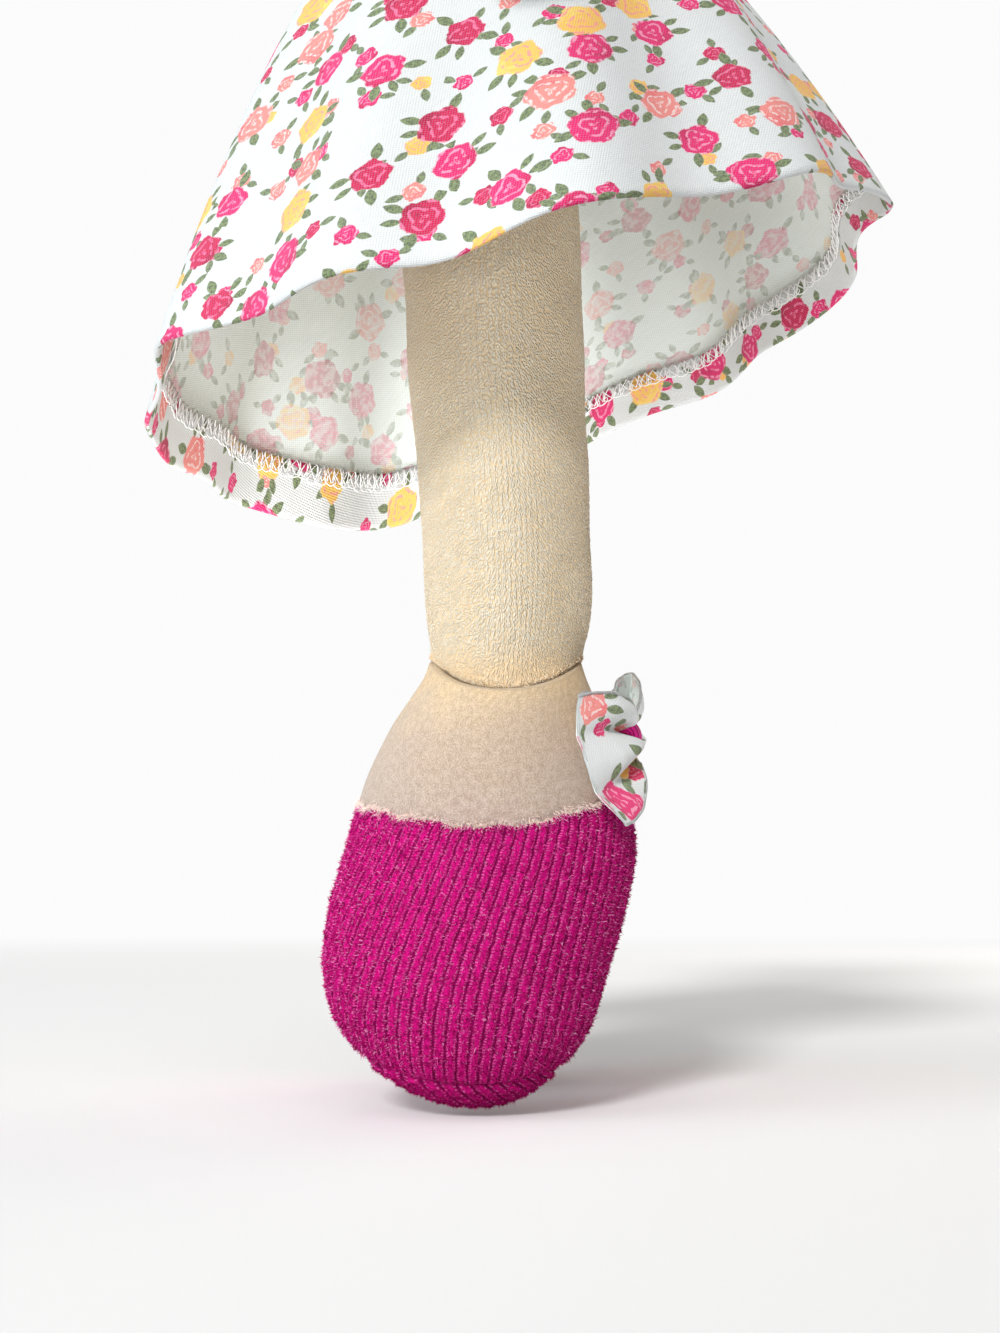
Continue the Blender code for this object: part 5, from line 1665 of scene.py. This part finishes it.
# The bow's edge thread is paler than the bow cloth: the folded edge, with a painted highlight along it.
EDGE_COTTON_HIGHLIGHT = ribbed("cotton_edge_highlight", (0.92, 0.93, 0.91), (0.84, 0.85, 0.85), 0.6)
for side_name, side in SIDES:
    wings = []
    for outer in (True, False):
        wing = roll(
            f"bow_wing_{side_name}_{'outer' if outer else 'inner'}", 64, 90,
            lambda around, along, outer=outer, side=side: wing_point(side, outer, 2 * around - 1, along),
            lambda around, along, outer=outer: (around * 0.028 + 0.211 * outer + 0.173, along * 0.05 + 0.459),
        )
        cloth_sheet(wing, 0.4)
        wings.append(wing)
    pick(*wings)
    bpy.ops.object.join()
    bow = wings[0]
    bow.name = bow.data.name = f"bow_cloth_{side_name}"
    seat(bow, None, f"bow_{side_name}", f"foot_{side_name}")
    rims = [wing_rim(side, outer, rise) for outer in (True, False) for rise in (-1, 1)]
    rim = threads(f"bow_edge_{side_name}", rims, 0.32 * MM, sides=8)
    seat(rim, EDGE_COTTON_HIGHLIGHT, None, f"foot_{side_name}")
    band = lambda around, along: (along * 0.013, around * 0.032)
    knot = roll(f"bow_band_{side_name}", 96, 60, knot_place(side), band)
    seat(knot, BINDING, f"bow_knot_{side_name}", f"foot_{side_name}")

# %% [markdown]
# ## Floor, light and camera
#
# The doll is shown against white, with a soft shadow on the floor. Two suns in front and a little
# to the left give the round forms their shading, a crisp one and a higher, softer one. A window
# lamp on the left and a warm fill behind on the right keep the edges bright. Four small lamps near
# the floor stand for the light that a pale floor throws back, on the toe and up under the skirt.
# The floor looks white to the camera because of its own colour there, not because of more light.

# %% Floor and world
FLOOR_Z = -0.3012
bpy.ops.object.select_all(action="DESELECT")
bpy.ops.mesh.primitive_plane_add(size=60, location=(0, 0, FLOOR_Z))
floor = bpy.context.object
floor.name = "floor"
paper = Finish("pale_paper", 0.9)
sight = paper.node("ShaderNodeLightPath", {}, {}, "Is Camera Ray")
far_off = paper.vector("LENGTH", paper.spot()).rise(0.40, 1.8) * 0.88 + 0.12
seen = paper.node("ShaderNodeBsdfDiffuse", {}, {"Color": (0.99, 0.99, 0.99)}, "BSDF")
glow = paper.node("ShaderNodeEmission", {}, {"Color": (1.0, 1.0, 1.0), "Strength": 0.97}, "Emission")
near = paper.node("ShaderNodeMixShader", {}, {0: far_off, 1: seen, 2: glow}, 0)
plain = paper.node("ShaderNodeBsdfDiffuse", {}, {"Color": (0.80, 0.80, 0.80)}, "BSDF")
both = paper.node("ShaderNodeMixShader", {}, {0: sight, 1: plain, 2: near}, 0)
paper.tree.links.new(both.socket, paper.tree.nodes["Material Output"].inputs["Surface"])
floor.data.materials.append(paper.material)

world = bpy.data.worlds.new("studio")
bpy.context.scene.world = world
world.use_nodes = True
sky = world.node_tree
ray = sky.nodes.new("ShaderNodeLightPath").outputs


def larger(first, second):
    """A Math node of the world that gives the larger of two values."""
    made = sky.nodes.new("ShaderNodeMath")
    made.operation = "MAXIMUM"
    sky.links.new(first, made.inputs[0])
    sky.links.new(second, made.inputs[1])
    return made.outputs[0]


level = sky.nodes.new("ShaderNodeMapRange")
level.inputs["To Min"].default_value = 0.18
level.inputs["To Max"].default_value = 0.97
mirrored = larger(ray["Is Glossy Ray"], ray["Is Transmission Ray"])
sky.links.new(larger(ray["Is Camera Ray"], mirrored), level.inputs["Value"])
sky.links.new(level.outputs[0], sky.nodes["Background"].inputs["Strength"])
sky.nodes["Background"].inputs["Color"].default_value = (1, 1, 1, 1)


# %% Lamps and camera
def lamp(name, place, aim, size, watts, colour):
    """A square soft lamp that looks at a point."""
    bpy.ops.object.light_add(type="AREA", location=place)
    made = bpy.context.object
    made.name = name
    made.data.size = size
    made.data.energy = watts
    made.data.color = colour
    way = np.array(aim, float) - np.array(place, float)
    flat = math.hypot(way[0], way[1])
    made.rotation_euler = (math.atan2(flat, -way[2]), 0, math.atan2(way[1], way[0]) - math.pi / 2)
    return made


lamp("window", (-0.50, 1.20, 0.10), (0, 0, -0.2), 0.7, 6.4, (0.80, 0.93, 1.0))
lamp("fill", (0.90, -1.00, 0.15), (0, 0, -0.10), 0.80, 4.6, (1.0, 0.88, 0.74))
SUNS = (("key", (-1.01, 0.33, 0.60), 2.40, 12), ("high", (-0.75, 0.30, 1.20), 0.68, 50))
for name, way, strength, angle in SUNS:
    bpy.ops.object.light_add(type="SUN", location=way)
    far = bpy.context.object
    far.name = name
    far.data.energy = strength
    far.data.angle = math.radians(angle)
    tip, swing = math.atan2(math.hypot(way[0], way[1]), way[2]), math.atan2(way[1], way[0])
    far.rotation_euler = (tip, 0, swing + math.pi / 2)
WHITE = (1.0, 1.0, 1.0)
low = lamp("low", (-0.46, 0.10, -0.275), (0.05, 0, -0.215), 0.06, 0.040, WHITE)
low.data.spread = math.radians(40)
UNDER = (
    ("under_hem", (-0.20, 0.0, -0.297), (-0.047, 0, -0.120), 0.02, 0.0036, 20),
    ("under_skirt", (0.0, 0.085, -0.29), (0.075, 0.0425, -0.12), 0.05, 0.145, 100),
    ("under_skirt", (0.0, -0.085, -0.29), (0.075, -0.0425, -0.12), 0.05, 0.085, 100),
)
for name, place, aim, size, watts, spread in UNDER:
    hidden = lamp(name, place, aim, size, watts, WHITE)
    hidden.data.spread = math.radians(spread)
    hidden.visible_camera = False

EYE = (-0.378, 0.00114, -0.2545)
PITCH = math.radians(8.62)
bpy.ops.object.camera_add(location=EYE, rotation=(math.pi / 2 + PITCH, 0, -math.pi / 2))
camera = bpy.context.object
camera.data.sensor_fit = "VERTICAL"
camera.data.sensor_height, camera.data.lens = 36, 41.59
bpy.context.scene.camera = camera
bpy.context.scene.view_settings.view_transform = "Standard"
print("camera height above the floor:", round((EYE[2] - FLOOR_Z) * 1000), "mm")
